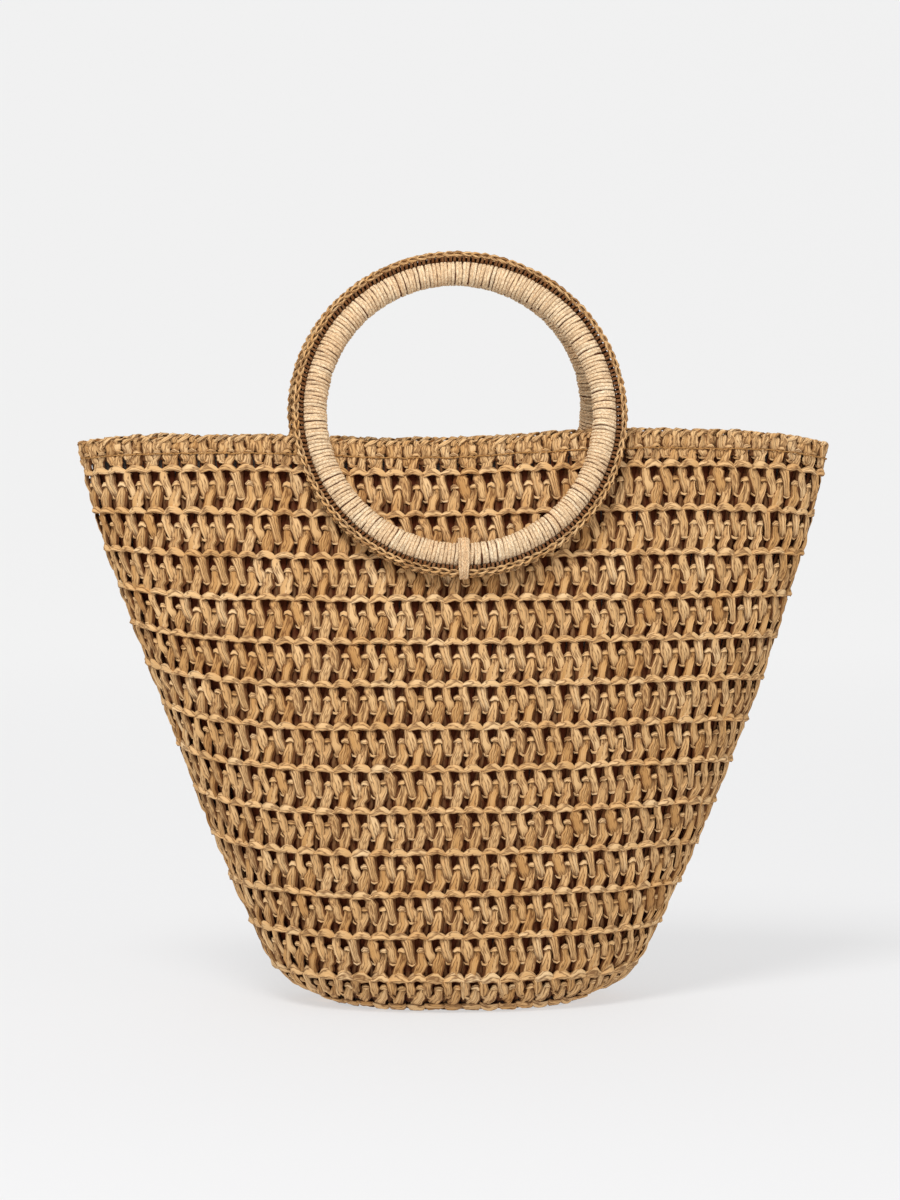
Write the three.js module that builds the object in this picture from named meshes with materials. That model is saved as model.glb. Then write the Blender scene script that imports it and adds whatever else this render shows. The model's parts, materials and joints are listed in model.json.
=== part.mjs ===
// Straw basket bag: a crocheted straw tote that fans out from an oval base to a wide flat mouth,
// with a ring handle wound in straw on its front and another on its back.
// Millimetres, +Z up. The origin is the centre of the base's underside, and the front faces -Y.

import * as THREE from 'three';

// Driving sizes of the bag
const RIM_WIDTH = 411;
const RIM_DEPTH = 64;
const RIM_HEIGHT = 307.5;
const BELLY_DEPTH = 132;
const BASE_WIDTH = 134;
const BASE_DEPTH = 96;
const BASE_THICKNESS = 4;
const WALL_THICKNESS = 4.5;
const LINING_THICKNESS = 1;
const LINING_BELOW_RIM = 9;
const RIM_BAND_HEIGHT = 16.5;
const RIM_BAND_RAISE = 4.6;
const RIM_ROUNDING = 1.1;
const LOW_BAND_HEIGHT = 20.5;
const ROW_COUNT = 13;
const RIDGE_RELIEF = 1.8;
const POST_RELIEF = 0.8;
const CLEARANCE = 0.3;

// Driving sizes of the handles
const RING_INNER_DIAMETER = 142.5;
const RING_WIDTH = 13.75;
const RING_THICKNESS = 13;
const EDGING_WIDTH = 5.2;
const EDGING_THICKNESS = 8.5;
const HANDLE_RISE = 101;
const BINDING_WIDTH = 7;
const BINDING_THICKNESS = 1.4;
const BINDING_EASE = 0.7;
const BINDING_SQUARENESS = 0.45;

// Fineness of the faceted surfaces: sides round a piece, and levels or points along it
const WALL_SIDES = 48;
const LINING_LEVELS = 7;
const RING_SIDES = 40;
const RING_FACETS = 12;
const EDGING_FACETS = 6;
const BINDING_ARC_POINTS = 9;

const ROW_PITCH = (RIM_HEIGHT - RIM_BAND_HEIGHT - LOW_BAND_HEIGHT) / (ROW_COUNT - 1);

// Sections from base to rim.
// height: share of RIM_HEIGHT. widen: 0 is BASE_WIDTH and 1 is RIM_WIDTH. belly: 1 is BELLY_DEPTH
// and 0 is BASE_DEPTH below the belly or RIM_DEPTH above it. fullest: how far left of the middle the
// section is deepest, as a share of its half width. corner: 2 is an ellipse, more is squarer.
const BELLY_HEIGHT = 0.32;
const SECTIONS = [
  { height: 0.00, widen: 0.000, belly: 0.00, fullest: 0.00, corner: 2.2 },
  { height: 0.03, widen: 0.152, belly: 0.60, fullest: 0.04, corner: 2.2 },
  { height: 0.07, widen: 0.245, belly: 0.82, fullest: 0.09, corner: 2.2 },
  { height: 0.14, widen: 0.329, belly: 0.95, fullest: 0.15, corner: 2.2 },
  { height: 0.25, widen: 0.444, belly: 1.00, fullest: 0.22, corner: 2.2 },
  { height: 0.40, widen: 0.583, belly: 1.00, fullest: 0.26, corner: 2.2 },
  { height: 0.60, widen: 0.750, belly: 0.92, fullest: 0.24, corner: 2.3 },
  { height: 0.72, widen: 0.838, belly: 0.71, fullest: 0.18, corner: 2.4 },
  { height: 0.86, widen: 0.931, belly: 0.36, fullest: 0.11, corner: 2.6 },
  { height: 1.00, widen: 1.000, belly: 0.00, fullest: 0.06, corner: 2.9 },
];

// How the crochet rows rise and sag across the bag, from the left end (-1) to the right end (1).
// belly: half way up. rim: along the mouth. Both are shares of the row pitch.
const ACROSS = [
  { across: -1.00, belly: 0.42, rim: -0.10 },
  { across: -0.85, belly: 0.20, rim: 0.02 },
  { across: -0.50, belly: 0.03, rim: 0.04 },
  { across: 0.00, belly: 0.00, rim: -0.06 },
  { across: 0.40, belly: 0.00, rim: 0.14 },
  { across: 0.75, belly: 0.02, rim: 0.14 },
  { across: 0.90, belly: 0.00, rim: 0.02 },
  { across: 1.00, belly: -0.08, rim: -0.16 },
];
const RIM_SAG_REACH = 0.30;

const STRAW = { color: 0xc39a68, roughness: 0.72, metalness: 0 };
const STRAW_WINDING = { color: 0xd4b188, roughness: 0.62, metalness: 0 };
const LINING_CLOTH = { color: 0x8d8078, roughness: 0.9, metalness: 0 };

const bag = new THREE.Group();

// Smooth curve through one column of a table, read at a place along another column.
function readTable(table, along, column, place) {
  const last = table.length - 1;
  const at = Math.min(Math.max(place, table[0][along]), table[last][along]);
  let row = 0;
  while (row < last - 1 && at > table[row + 1][along]) row += 1;
  const slope = (first, second) =>
    (table[second][column] - table[first][column]) / (table[second][along] - table[first][along]);
  const startSlope = slope(Math.max(row - 1, 0), row + 1);
  const endSlope = slope(row, Math.min(row + 2, last));
  const span = table[row + 1][along] - table[row][along];
  const share = (at - table[row][along]) / span;
  const start = table[row][column];
  const end = table[row + 1][column];
  const fromStart = (2 * share ** 3 - 3 * share ** 2 + 1) * start + (3 * share ** 2 - 2 * share ** 3) * end;
  const bend = (share ** 3 - 2 * share ** 2 + share) * startSlope + (share ** 3 - share ** 2) * endSlope;
  return fromStart + bend * span;
}

// One level of the bag's outline, with its half sizes in millimetres.
function sectionAt(height) {
  const share = height / RIM_HEIGHT;
  const read = (column) => readTable(SECTIONS, 'height', column, share);
  const endDepth = share < BELLY_HEIGHT ? BASE_DEPTH : RIM_DEPTH;
  return {
    share,
    halfWidth: (BASE_WIDTH + read('widen') * (RIM_WIDTH - BASE_WIDTH)) / 2,
    halfDepth: (endDepth + read('belly') * (BELLY_DEPTH - endDepth)) / 2,
    fullest: read('fullest'),
    corner: read('corner'),
  };
}

// How far a level rises at a place across the bag: nothing at the base, the belly's curve half way
// up, and the mouth's curve in the top stretch.
function riseAt(share, across) {
  const nearRim = THREE.MathUtils.smoothstep(share, 1 - RIM_SAG_REACH, 1);
  const nearBelly = Math.sin(Math.PI * Math.min(share, 1)) ** 2;
  const belly = readTable(ACROSS, 'across', 'belly', across);
  const rim = readTable(ACROSS, 'across', 'rim', across);
  return ROW_PITCH * (nearBelly * belly + nearRim * rim);
}

// Point on the bag's outer surface. The turn runs anticlockwise seen from above, from the right end.
function outerPoint(height, turn) {
  const { share, halfWidth, halfDepth, fullest, corner } = sectionAt(height);
  const across = Math.cos(turn);
  const reach = halfWidth * (across > 0 ? 1 + fullest : 1 - fullest);
  const bulge = Math.sqrt(Math.max(1 - Math.abs(across) ** corner, 0));
  return new THREE.Vector3(
    reach * across - fullest * halfWidth,
    Math.sign(Math.sin(turn)) * halfDepth * bulge,
    height + riseAt(share, across),
  );
}

// Outward level direction at a surface point, with how much thicker a sloping wall is on the level.
function outwardAt(height, turn) {
  const step = 1e-3;
  const up = Math.min(height * (1 + step) + step, RIM_HEIGHT);
  const down = Math.max(height * (1 - step) - step, 0);
  const round = outerPoint(height, turn + step).sub(outerPoint(height, turn - step));
  const climb = outerPoint(up, turn).sub(outerPoint(down, turn));
  const normal = round.cross(climb).normalize();
  const level = Math.hypot(normal.x, normal.y);
  return { direction: new THREE.Vector3(normal.x / level, normal.y / level, 0), slant: 1 / level };
}

// A ring of points at one level, moved in from the outer surface by a depth measured square to it.
function wallRing(height, inset) {
  const points = [];
  for (let side = 0; side < WALL_SIDES; side += 1) {
    const turn = (2 * Math.PI * side) / WALL_SIDES;
    const { direction, slant } = outwardAt(height, turn);
    points.push(outerPoint(height, turn).addScaledVector(direction, -inset * slant));
  }
  return points;
}

// A closed body through rings of points, listed from the first end to the last. Either end is
// closed by a flat fan, or the last ring joins the first. A four-sided cell is split along the same
// diagonal whether the rings climb or descend, so that two skins face to face stay parallel.
function loftRings(rings, { joinEnds }) {
  const positions = [];
  const triangle = (a, b, c) => positions.push(...a.toArray(), ...b.toArray(), ...c.toArray());
  const count = rings[0].length;
  const spans = joinEnds ? rings.length : rings.length - 1;
  for (let level = 0; level < spans; level += 1) {
    const first = rings[level];
    const second = rings[(level + 1) % rings.length];
    const climbs = second[0].z > first[0].z;
    for (let side = 0; side < count; side += 1) {
      const next = (side + 1) % count;
      const [from, to] = climbs ? [side, next] : [next, side];
      triangle(first[side], first[next], second[to]);
      triangle(first[from], second[next], second[side]);
    }
  }
  if (!joinEnds) {
    for (const [ring, facesUp] of [[rings[0], false], [rings[rings.length - 1], true]]) {
      const centre = ring.reduce((sum, point) => sum.add(point), new THREE.Vector3()).divideScalar(count);
      for (let side = 0; side < count; side += 1) {
        const next = (side + 1) % count;
        if (facesUp) triangle(ring[side], ring[next], centre);
        else triangle(ring[next], ring[side], centre);
      }
    }
  }
  const geometry = new THREE.BufferGeometry();
  geometry.setAttribute('position', new THREE.Float32BufferAttribute(positions, 3));
  geometry.computeVertexNormals();
  return geometry;
}

function addMesh(parent, name, geometry, look) {
  const mesh = new THREE.Mesh(geometry, new THREE.MeshStandardMaterial(look));
  mesh.name = name;
  parent.add(mesh);
  return mesh;
}

// Evenly spaced numbers from start to end, both included.
function spread(start, end, count) {
  return Array.from({ length: count }, (_, index) => start + ((end - start) * index) / (count - 1));
}

// Depth below the ridge line of the crochet surface over one row: crest, hollow under the loop, post.
const ROW_RELIEF = [
  { below: 0.00, inset: 0 },
  { below: 0.24, inset: RIDGE_RELIEF },
  { below: 0.66, inset: POST_RELIEF },
];

const BAND_START = RIM_HEIGHT - RIM_BAND_HEIGHT + RIM_BAND_RAISE;
const LINING_FLOOR = BASE_THICKNESS + CLEARANCE;

// Levels of the wall's outer side from the floor to just under the rim band.
function wallLevels() {
  const levels = [{ height: 0, inset: POST_RELIEF }];
  for (let row = 0; row < ROW_COUNT; row += 1) {
    const ridge = LOW_BAND_HEIGHT + row * ROW_PITCH;
    const drop = row === 0 ? LOW_BAND_HEIGHT : ROW_PITCH;
    for (const { below, inset } of [...ROW_RELIEF].reverse()) {
      levels.push({ height: ridge - below * drop, inset });
    }
  }
  levels.push({ height: BAND_START - CLEARANCE, inset: RIDGE_RELIEF });
  return levels;
}

// Levels of the smooth inner side, shared by the wall and the lining so that they stay parallel.
const INNER_MARKS = [
  LINING_FLOOR,
  (LINING_FLOOR + LOW_BAND_HEIGHT) / 2,
  ...spread(LOW_BAND_HEIGHT, BAND_START, LINING_LEVELS),
];

function innerHeights(start, end) {
  const between = INNER_MARKS.filter((height) => height > start + CLEARANCE && height < end - CLEARANCE);
  return [start, ...between, end];
}

function makeBodyWall() {
  const levels = wallLevels();
  const outer = levels.map(({ height, inset }) => wallRing(height, inset));
  const top = levels[levels.length - 1].height;
  const inner = innerHeights(0, top).map((height) => wallRing(height, WALL_THICKNESS));
  return loftRings([...outer, ...inner.reverse()], { joinEnds: true });
}

function makeRimBand() {
  const middle = (BAND_START + RIM_HEIGHT) / 2;
  const shape = [
    { height: BAND_START, inset: RIDGE_RELIEF },
    { height: middle, inset: POST_RELIEF / 2 },
    { height: RIM_HEIGHT - RIM_ROUNDING, inset: 0 },
    { height: RIM_HEIGHT, inset: RIM_ROUNDING },
    { height: RIM_HEIGHT, inset: WALL_THICKNESS - RIM_ROUNDING },
    { height: RIM_HEIGHT - RIM_ROUNDING, inset: WALL_THICKNESS },
    { height: BAND_START, inset: WALL_THICKNESS },
  ];
  return loftRings(shape.map(({ height, inset }) => wallRing(height, inset)), { joinEnds: true });
}

function makeBase() {
  const inset = WALL_THICKNESS + CLEARANCE;
  return loftRings([wallRing(0, inset), wallRing(BASE_THICKNESS, inset)], { joinEnds: false });
}

// A cup just inside the wall, open at the top, that ends a little below the rim.
function makeLining() {
  const outside = WALL_THICKNESS + CLEARANCE;
  const inside = outside + LINING_THICKNESS;
  const floor = LINING_FLOOR;
  const top = RIM_HEIGHT - LINING_BELOW_RIM;
  const outer = innerHeights(floor, top).map((height) => wallRing(height, outside));
  const inner = innerHeights(floor + LINING_THICKNESS, top).map((height) => wallRing(height, inside));
  return loftRings([...outer, ...inner.reverse()], { joinEnds: false });
}

// A ring round the handle's own axis, which is the geometry's Y axis, with an oval section.
function ovalRing(innerRadius, width, thickness, facets) {
  const centre = innerRadius + width / 2;
  const profile = [];
  for (let facet = 0; facet <= facets; facet += 1) {
    const turn = (2 * Math.PI * (facet % facets)) / facets;
    profile.push(new THREE.Vector2(
      centre + (Math.cos(turn) * width) / 2,
      (Math.sin(turn) * thickness) / 2,
    ));
  }
  return new THREE.LatheGeometry(profile, RING_SIDES);
}

const RING_OUTER_RADIUS = RING_INNER_DIAMETER / 2 + RING_WIDTH;
const HANDLE_RADIUS = RING_OUTER_RADIUS + CLEARANCE + EDGING_WIDTH;

// The binding is a strap bent over the front of the ring and its edging, with both ends at the wall.
// It is drawn as radius and height off the ring's middle plane, then turned to the ring's lowest point.
function makeBinding() {
  const near = RING_INNER_DIAMETER / 2;
  const middle = (near + HANDLE_RADIUS) / 2;
  const back = -RING_THICKNESS / 2;
  const bend = (grow) => {
    const reach = (HANDLE_RADIUS - near) / 2 + grow;
    const crown = RING_THICKNESS / 2 + grow;
    const arch = spread(0, Math.PI, BINDING_ARC_POINTS).map((turn) => new THREE.Vector2(
      middle + reach * Math.cos(turn),
      crown * Math.sin(turn) ** BINDING_SQUARENESS,
    ));
    return [new THREE.Vector2(middle + reach, back), ...arch, new THREE.Vector2(middle - reach, back)];
  };
  const inside = BINDING_EASE;
  const outline = [...bend(inside + BINDING_THICKNESS), ...bend(inside).reverse()];
  const strap = new THREE.ExtrudeGeometry(new THREE.Shape(outline), {
    depth: BINDING_WIDTH,
    bevelEnabled: false,
  });
  strap.translate(0, 0, -BINDING_WIDTH / 2);
  const down = new THREE.Vector3(0, 0, -1);
  const outward = new THREE.Vector3(0, -1, 0);
  strap.applyMatrix4(new THREE.Matrix4().makeBasis(down, outward, down.clone().cross(outward)));
  return strap;
}

// Turn of the front surface at a place across the bag.
function frontTurn(height, x) {
  const { halfWidth, fullest } = sectionAt(height);
  const deepest = -fullest * halfWidth;
  const reach = halfWidth * (x > deepest ? 1 + fullest : 1 - fullest);
  return -Math.acos(THREE.MathUtils.clamp((x - deepest) / reach, -1, 1));
}

// How far out the wall stands behind a handle, along the handle's own axis.
function wallBehind(centre, up, outward, least) {
  let reach = least;
  for (const radius of [RING_INNER_DIAMETER / 2, RING_OUTER_RADIUS, HANDLE_RADIUS]) {
    for (let side = 0; side < RING_SIDES; side += 1) {
      const turn = (2 * Math.PI * side) / RING_SIDES;
      const spot = centre.clone().addScaledVector(up, radius * Math.sin(turn));
      spot.x += radius * Math.cos(turn);
      if (spot.z < RIM_HEIGHT) {
        reach = Math.max(reach, outerPoint(spot.z, frontTurn(spot.z, spot.x)).dot(outward));
      }
    }
  }
  return reach;
}

// Where a handle stands: it leans as the wall does between its lowest point and where it crosses
// the rim, and its back clears the wall all along.
function seatHandle() {
  const lowest = Math.max(RIM_HEIGHT + HANDLE_RISE - 2 * HANDLE_RADIUS, 0);
  const foot = outerPoint(lowest, frontTurn(lowest, 0));
  const mouth = outerPoint(RIM_HEIGHT, frontTurn(RIM_HEIGHT, RING_OUTER_RADIUS));
  const lean = Math.atan2(mouth.y - foot.y, mouth.z - foot.z);
  const up = new THREE.Vector3(0, Math.sin(lean), Math.cos(lean));
  const outward = new THREE.Vector3(0, -Math.cos(lean), Math.sin(lean));
  const centreHeight = RIM_HEIGHT + HANDLE_RISE - HANDLE_RADIUS * Math.cos(lean);
  const centreAt = (distance) => outward.clone().multiplyScalar(distance)
    .addScaledVector(up, (centreHeight - distance * outward.z) / up.z);
  const least = mouth.dot(outward);
  const wallReach = wallBehind(centreAt(least), up, outward, least);
  return { lean, centre: centreAt(wallReach + CLEARANCE + RING_THICKNESS / 2) };
}

function addHandle(parent, side, turn) {
  const { lean, centre } = seatHandle();
  const facing = new THREE.Group();
  facing.rotation.z = turn;
  const handle = new THREE.Group();
  handle.position.copy(centre);
  handle.rotation.x = -lean;
  facing.add(handle);
  parent.add(facing);
  const ring = ovalRing(RING_INNER_DIAMETER / 2, RING_WIDTH, RING_THICKNESS, RING_FACETS);
  const edging = ovalRing(RING_OUTER_RADIUS + CLEARANCE, EDGING_WIDTH, EDGING_THICKNESS, EDGING_FACETS);
  addMesh(handle, `handle_ring_${side}`, ring, STRAW_WINDING);
  addMesh(handle, `handle_edging_${side}`, edging, STRAW);
  addMesh(handle, `handle_binding_${side}`, makeBinding(), STRAW_WINDING);
}

addMesh(bag, 'base', makeBase(), STRAW);
addMesh(bag, 'body_wall', makeBodyWall(), STRAW);
addMesh(bag, 'rim_band', makeRimBand(), STRAW);
addMesh(bag, 'lining', makeLining(), LINING_CLOTH);
addHandle(bag, 'front', 0);
addHandle(bag, 'back', Math.PI);

export default bag;
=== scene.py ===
"""Looks of the straw basket bag: crocheted straw, wound ring handles, cloth lining, and a plain studio.

Lengths are metres unless a name ends in _mm. The bag stands on the floor at z = 0 with its front towards -Y.
"""

import json
import logging
import math
from collections.abc import Callable, Iterable, Sequence
from dataclasses import dataclass, field, replace
from enum import Enum
from typing import Any, NamedTuple

import bpy
import numpy as np
from mathutils import Matrix, Vector

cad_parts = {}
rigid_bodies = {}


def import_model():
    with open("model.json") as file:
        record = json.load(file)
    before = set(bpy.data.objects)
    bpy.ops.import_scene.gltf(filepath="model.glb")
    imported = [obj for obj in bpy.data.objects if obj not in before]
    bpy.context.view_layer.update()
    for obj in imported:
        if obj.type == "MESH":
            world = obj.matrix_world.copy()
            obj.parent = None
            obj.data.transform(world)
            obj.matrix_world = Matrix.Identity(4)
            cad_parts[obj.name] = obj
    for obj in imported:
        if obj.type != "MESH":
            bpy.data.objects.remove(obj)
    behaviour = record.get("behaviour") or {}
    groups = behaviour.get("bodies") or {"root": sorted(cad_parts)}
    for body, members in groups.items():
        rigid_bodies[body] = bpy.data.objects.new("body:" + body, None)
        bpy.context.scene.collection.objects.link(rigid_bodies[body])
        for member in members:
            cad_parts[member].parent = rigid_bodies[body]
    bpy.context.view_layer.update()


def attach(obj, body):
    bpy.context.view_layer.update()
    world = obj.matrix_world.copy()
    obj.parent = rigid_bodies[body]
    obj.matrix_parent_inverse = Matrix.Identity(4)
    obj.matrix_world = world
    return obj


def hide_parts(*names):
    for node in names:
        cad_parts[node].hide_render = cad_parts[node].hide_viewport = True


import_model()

log = logging.getLogger("straw_bag")

MM = 0.001
BODY = "root"
STRAW_UV = "StrawLength"
FLAT_UV = "FlatPattern"
MOTIF_MARK = "_motifs"


def srgb(red: float, green: float, blue: float) -> tuple[float, float, float, float]:
    """Linear colour with alpha from 0-255 display values.

    Args:
        red: Display red.
        green: Display green.
        blue: Display blue.

    Returns:
        The linear colour, opaque.
    """

    def linear(value: float) -> float:
        """One channel made linear."""
        share = value / 255
        return share / 12.92 if share <= 0.04045 else ((share + 0.055) / 1.055) ** 2.4

    return (linear(red), linear(green), linear(blue), 1.0)


def arithmetic(operation: str, swapped: bool = False) -> Callable[..., "Node"]:
    """A method of Node that adds a Math node.

    Args:
        operation: What the Math node does.
        swapped: Whether the node's own value comes last.

    Returns:
        The method.
    """

    def method(self: "Node", *others: "Node | float") -> "Node":
        """The Math node's output."""
        values = (*others, self) if swapped else (self, *others)
        return self.tree.add("ShaderNodeMath", {"operation": operation}, dict(enumerate(values)))

    return method


class Node:
    """One output socket of a node. Arithmetic on it adds Math nodes to its tree."""

    __add__, __radd__ = arithmetic("ADD"), arithmetic("ADD", swapped=True)
    __sub__, __rsub__ = arithmetic("SUBTRACT"), arithmetic("SUBTRACT", swapped=True)
    __mul__, __rmul__ = arithmetic("MULTIPLY"), arithmetic("MULTIPLY", swapped=True)
    __pow__, __abs__ = arithmetic("POWER"), arithmetic("ABSOLUTE")

    def __init__(self, tree: "Tree", socket: bpy.types.NodeSocket) -> None:
        """Keeps the tree and the socket."""
        self.tree = tree
        self.socket = socket

    def clamped(self) -> "Node":
        """The value kept between 0 and 1."""
        return self.tree.add("ShaderNodeClamp", {}, {"Value": self})


class Tree:
    """A node tree that is filled through one method."""

    def __init__(self, tree: bpy.types.NodeTree) -> None:
        """Keeps the tree, emptied."""
        self.tree = tree
        tree.nodes.clear()

    def add(
        self,
        kind: str,
        settings: dict[str, Any] | None = None,
        inputs: dict[str | int, Any] | None = None,
        output: str | int = 0,
    ) -> Node | None:
        """Adds one node.

        Args:
            kind: The node's type.
            settings: Its options, set first. "stops" holds a ramp's positions and colours.
            inputs: Values or links of its sockets, by name, or by place among those in use.
            output: The output that is returned, by name or place.

        Returns:
            The output, or None where the node has none.
        """
        node = self.tree.nodes.new(kind)
        for name, value in (settings or {}).items():
            if name == "stops":
                self._set_stops(node.color_ramp, value)
            else:
                setattr(node, name, value)
        for key, value in (inputs or {}).items():
            socket = self._find(node.inputs, key)
            if isinstance(value, Node):
                self.tree.links.new(value.socket, socket)
            else:
                socket.default_value = value
        if not any(socket.enabled for socket in node.outputs):
            return None
        return Node(self, self._find(node.outputs, output))

    @staticmethod
    def _find(sockets: Any, key: str | int) -> bpy.types.NodeSocket:
        """A socket that is in use.

        Args:
            sockets: The node's inputs or outputs.
            key: Its name, or its place among those in use.

        Returns:
            The socket.
        """
        used = [socket for socket in sockets if socket.enabled]
        if isinstance(key, int):
            return used[key]
        return next(socket for socket in used if socket.name == key)

    @staticmethod
    def _set_stops(ramp: bpy.types.ColorRamp, stops: Sequence[tuple[float, tuple]]) -> None:
        """Gives a colour ramp its stops.

        Args:
            ramp: The ramp.
            stops: The positions and colours.
        """
        while len(ramp.elements) < len(stops):
            ramp.elements.new(1.0)
        for element, (position, colour) in zip(ramp.elements, stops, strict=True):
            element.position = position
            element.color = colour


def new_material(name: str) -> tuple[bpy.types.Material, Tree]:
    """A material with an empty tree.

    Args:
        name: The material's name.

    Returns:
        The material and its tree.
    """
    material = bpy.data.materials.new(name)
    material.use_nodes = True
    return material, Tree(material.node_tree)


def mixed(tree: Tree, factor: Node, first: Any, second: Any) -> Node:
    """A colour between two.

    Args:
        tree: The tree to add to.
        factor: 0 for the first colour, 1 for the second.
        first: The first colour.
        second: The second colour.

    Returns:
        The mixed colour.
    """
    colours = {"Factor": factor, "A": first, "B": second}
    return tree.add("ShaderNodeMix", {"data_type": "RGBA"}, colours, output="Result")


@dataclass(frozen=True)
class StrawFinish:
    """Twisted paper straw: tan, with painted shade in the hollows and towards each strand's edges, long
    creases drawn with painted shade lines and painted light on their ridges, and strands of uneven tone.
    """

    name: str
    stops: tuple[tuple[float, tuple], ...]
    # Colour of the painted shade deep in the work, shown where the 'open' attribute is 0, and all over pieces
    # that lack it.
    painted_hollow_shade: tuple[float, float, float, float] = field(default_factory=lambda: srgb(80, 32, 6))
    tone_spread: float = 0.5
    patch_spread: float = 0.2
    # Weight of the crease and fibre noise in the tone: the crease part follows the bump's folds, painting
    # light on their ridges and shade in their valleys; the fibre part is the straw's grain.
    fold_light_and_grain: float = 0.7
    crease_per_mm: tuple[float, float] = (0.08, 0.75)
    fibre_per_mm: tuple[float, float] = (0.05, 2.6)
    patches_per_metre: float = 28.0
    crease_height: float = 0.8
    crease_lift: float = 1.5 * MM
    # Colour of the painted shade: thin dark lines along the creases, and the darkening at the strands' edges.
    line: tuple[float, float, float, float] = field(default_factory=lambda: srgb(92, 45, 12))
    crease_shade_width: float = 0.065
    crease_shade_depth: float = 0.8
    # Painted shade towards each strand's edges: where it starts, as a share of the way out, and how dark it
    # gets.
    edge_shade_start: float = 0.74
    edge_shade_depth: float = 0.85
    roughness: float = 0.75
    specular: float = 0.15

    def material(self) -> bpy.types.Material:
        """Builds the material.

        Returns:
            The finished material.
        """
        material, tree = new_material(self.name)
        along = tree.add("ShaderNodeUVMap", {"uv_map": STRAW_UV})
        crease = self._grain(tree, along, self.crease_per_mm)
        fibre = self._grain(tree, along, self.fibre_per_mm)
        place = tree.add("ShaderNodeTexCoord", output="Object")
        patches = tree.add("ShaderNodeTexNoise", {}, {"Vector": place, "Scale": self.patches_per_metre})
        # The 'open' attribute says how far a point escapes the painted shade of the hollows; 'edge' says how
        # near it lies to its strand's edge, where shade is painted too.
        strand_tone, cell_tone, depth, edge = (
            tree.add("ShaderNodeAttribute", {"attribute_name": name}, output="Fac")
            for name in ("tone", "cell_tone", "open", "edge")
        )
        # Random strand, cell and patch tones, plus painted light and shade that follow the creases' folds,
        # and the fibres' grain.
        tone = (
            0.5
            + self.tone_spread * (0.7 * (strand_tone - 0.5) + 0.3 * (cell_tone - 0.5))
            + self.patch_spread * (patches - 0.5)
            + self.fold_light_and_grain * (0.7 * (crease - 0.5) + 0.3 * (fibre - 0.5))
        )
        straw = tree.add("ShaderNodeValToRGB", {"stops": self.stops}, {"Fac": tone.clamped()})
        # Painted shade: thin dark lines along the creases.
        off_crease_shade = (abs(crease - 0.5) * (1 / self.crease_shade_width)).clamped()
        crease_shaded = mixed(tree, 1 - self.crease_shade_depth * (1 - off_crease_shade), self.line, straw)
        # Painted shade darkens each strand towards its edges.
        painted_edge_shade = ((edge - self.edge_shade_start) * (1 / (1 - self.edge_shade_start))).clamped()
        edged = mixed(tree, self.edge_shade_depth * painted_edge_shade, crease_shaded, self.line)
        # Painted shade: the hollow colour deep in the work, by the 'open' attribute.
        colour = mixed(tree, depth.clamped(), self.painted_hollow_shade, edged)
        folds = 0.75 * crease + 0.25 * fibre
        relief = {"Strength": self.crease_height, "Distance": self.crease_lift, "Height": folds}
        bump = tree.add("ShaderNodeBump", {}, relief)
        surface = tree.add(
            "ShaderNodeBsdfPrincipled",
            {},
            {
                "Base Color": colour,
                "Roughness": (self.roughness + 0.25 * (crease - 0.5)).clamped(),
                "Specular IOR Level": self.specular,
                "Normal": bump,
            },
        )
        tree.add("ShaderNodeOutputMaterial", {}, {"Surface": surface})
        return material

    @staticmethod
    def _grain(tree: Tree, along: Node, per_mm: tuple[float, float]) -> Node:
        """Noise drawn out along the strand, with so many features to a millimetre along and across."""
        space = tree.add("ShaderNodeVectorMath", {"operation": "MULTIPLY"}, {0: along, 1: (*per_mm, 1.0)})
        return tree.add("ShaderNodeTexNoise", {}, {"Vector": space, "Scale": 1.0})


@dataclass(frozen=True)
class ClothFinish:
    """Plain woven cloth with a fine weave."""

    name: str
    colour: tuple[float, float, float, float]
    shadow: tuple[float, float, float, float]
    threads_per_metre: float = 1500.0
    wave_turn: float = 6.3
    roughness: float = 0.9

    def material(self) -> bpy.types.Material:
        """Builds the material.

        Returns:
            The finished material.
        """
        material, tree = new_material(self.name)
        weave_space = tree.add("ShaderNodeUVMap", {"uv_map": FLAT_UV})
        threads = {"Vector": weave_space, "Scale": self.threads_per_metre / self.wave_turn, "Distortion": 1.5}
        bands = ({"wave_type": "BANDS", "bands_direction": axis} for axis in "XY")
        warp, weft = (tree.add("ShaderNodeTexWave", band, threads, output="Fac") for band in bands)
        place = tree.add("ShaderNodeTexCoord", output="Object")
        wear = tree.add("ShaderNodeTexNoise", {}, {"Vector": place, "Scale": 30.0, "Detail": 4.0})
        height = warp * weft
        colour = mixed(tree, (0.35 + 0.45 * height + 0.5 * (wear - 0.5)).clamped(), self.shadow, self.colour)
        bump = tree.add("ShaderNodeBump", {}, {"Strength": 0.3, "Distance": 0.3 * MM, "Height": height})
        surface = tree.add(
            "ShaderNodeBsdfPrincipled",
            {},
            {"Base Color": colour, "Roughness": self.roughness, "Normal": bump, "Specular IOR Level": 0.2},
        )
        tree.add("ShaderNodeOutputMaterial", {}, {"Surface": surface})
        return material


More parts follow.
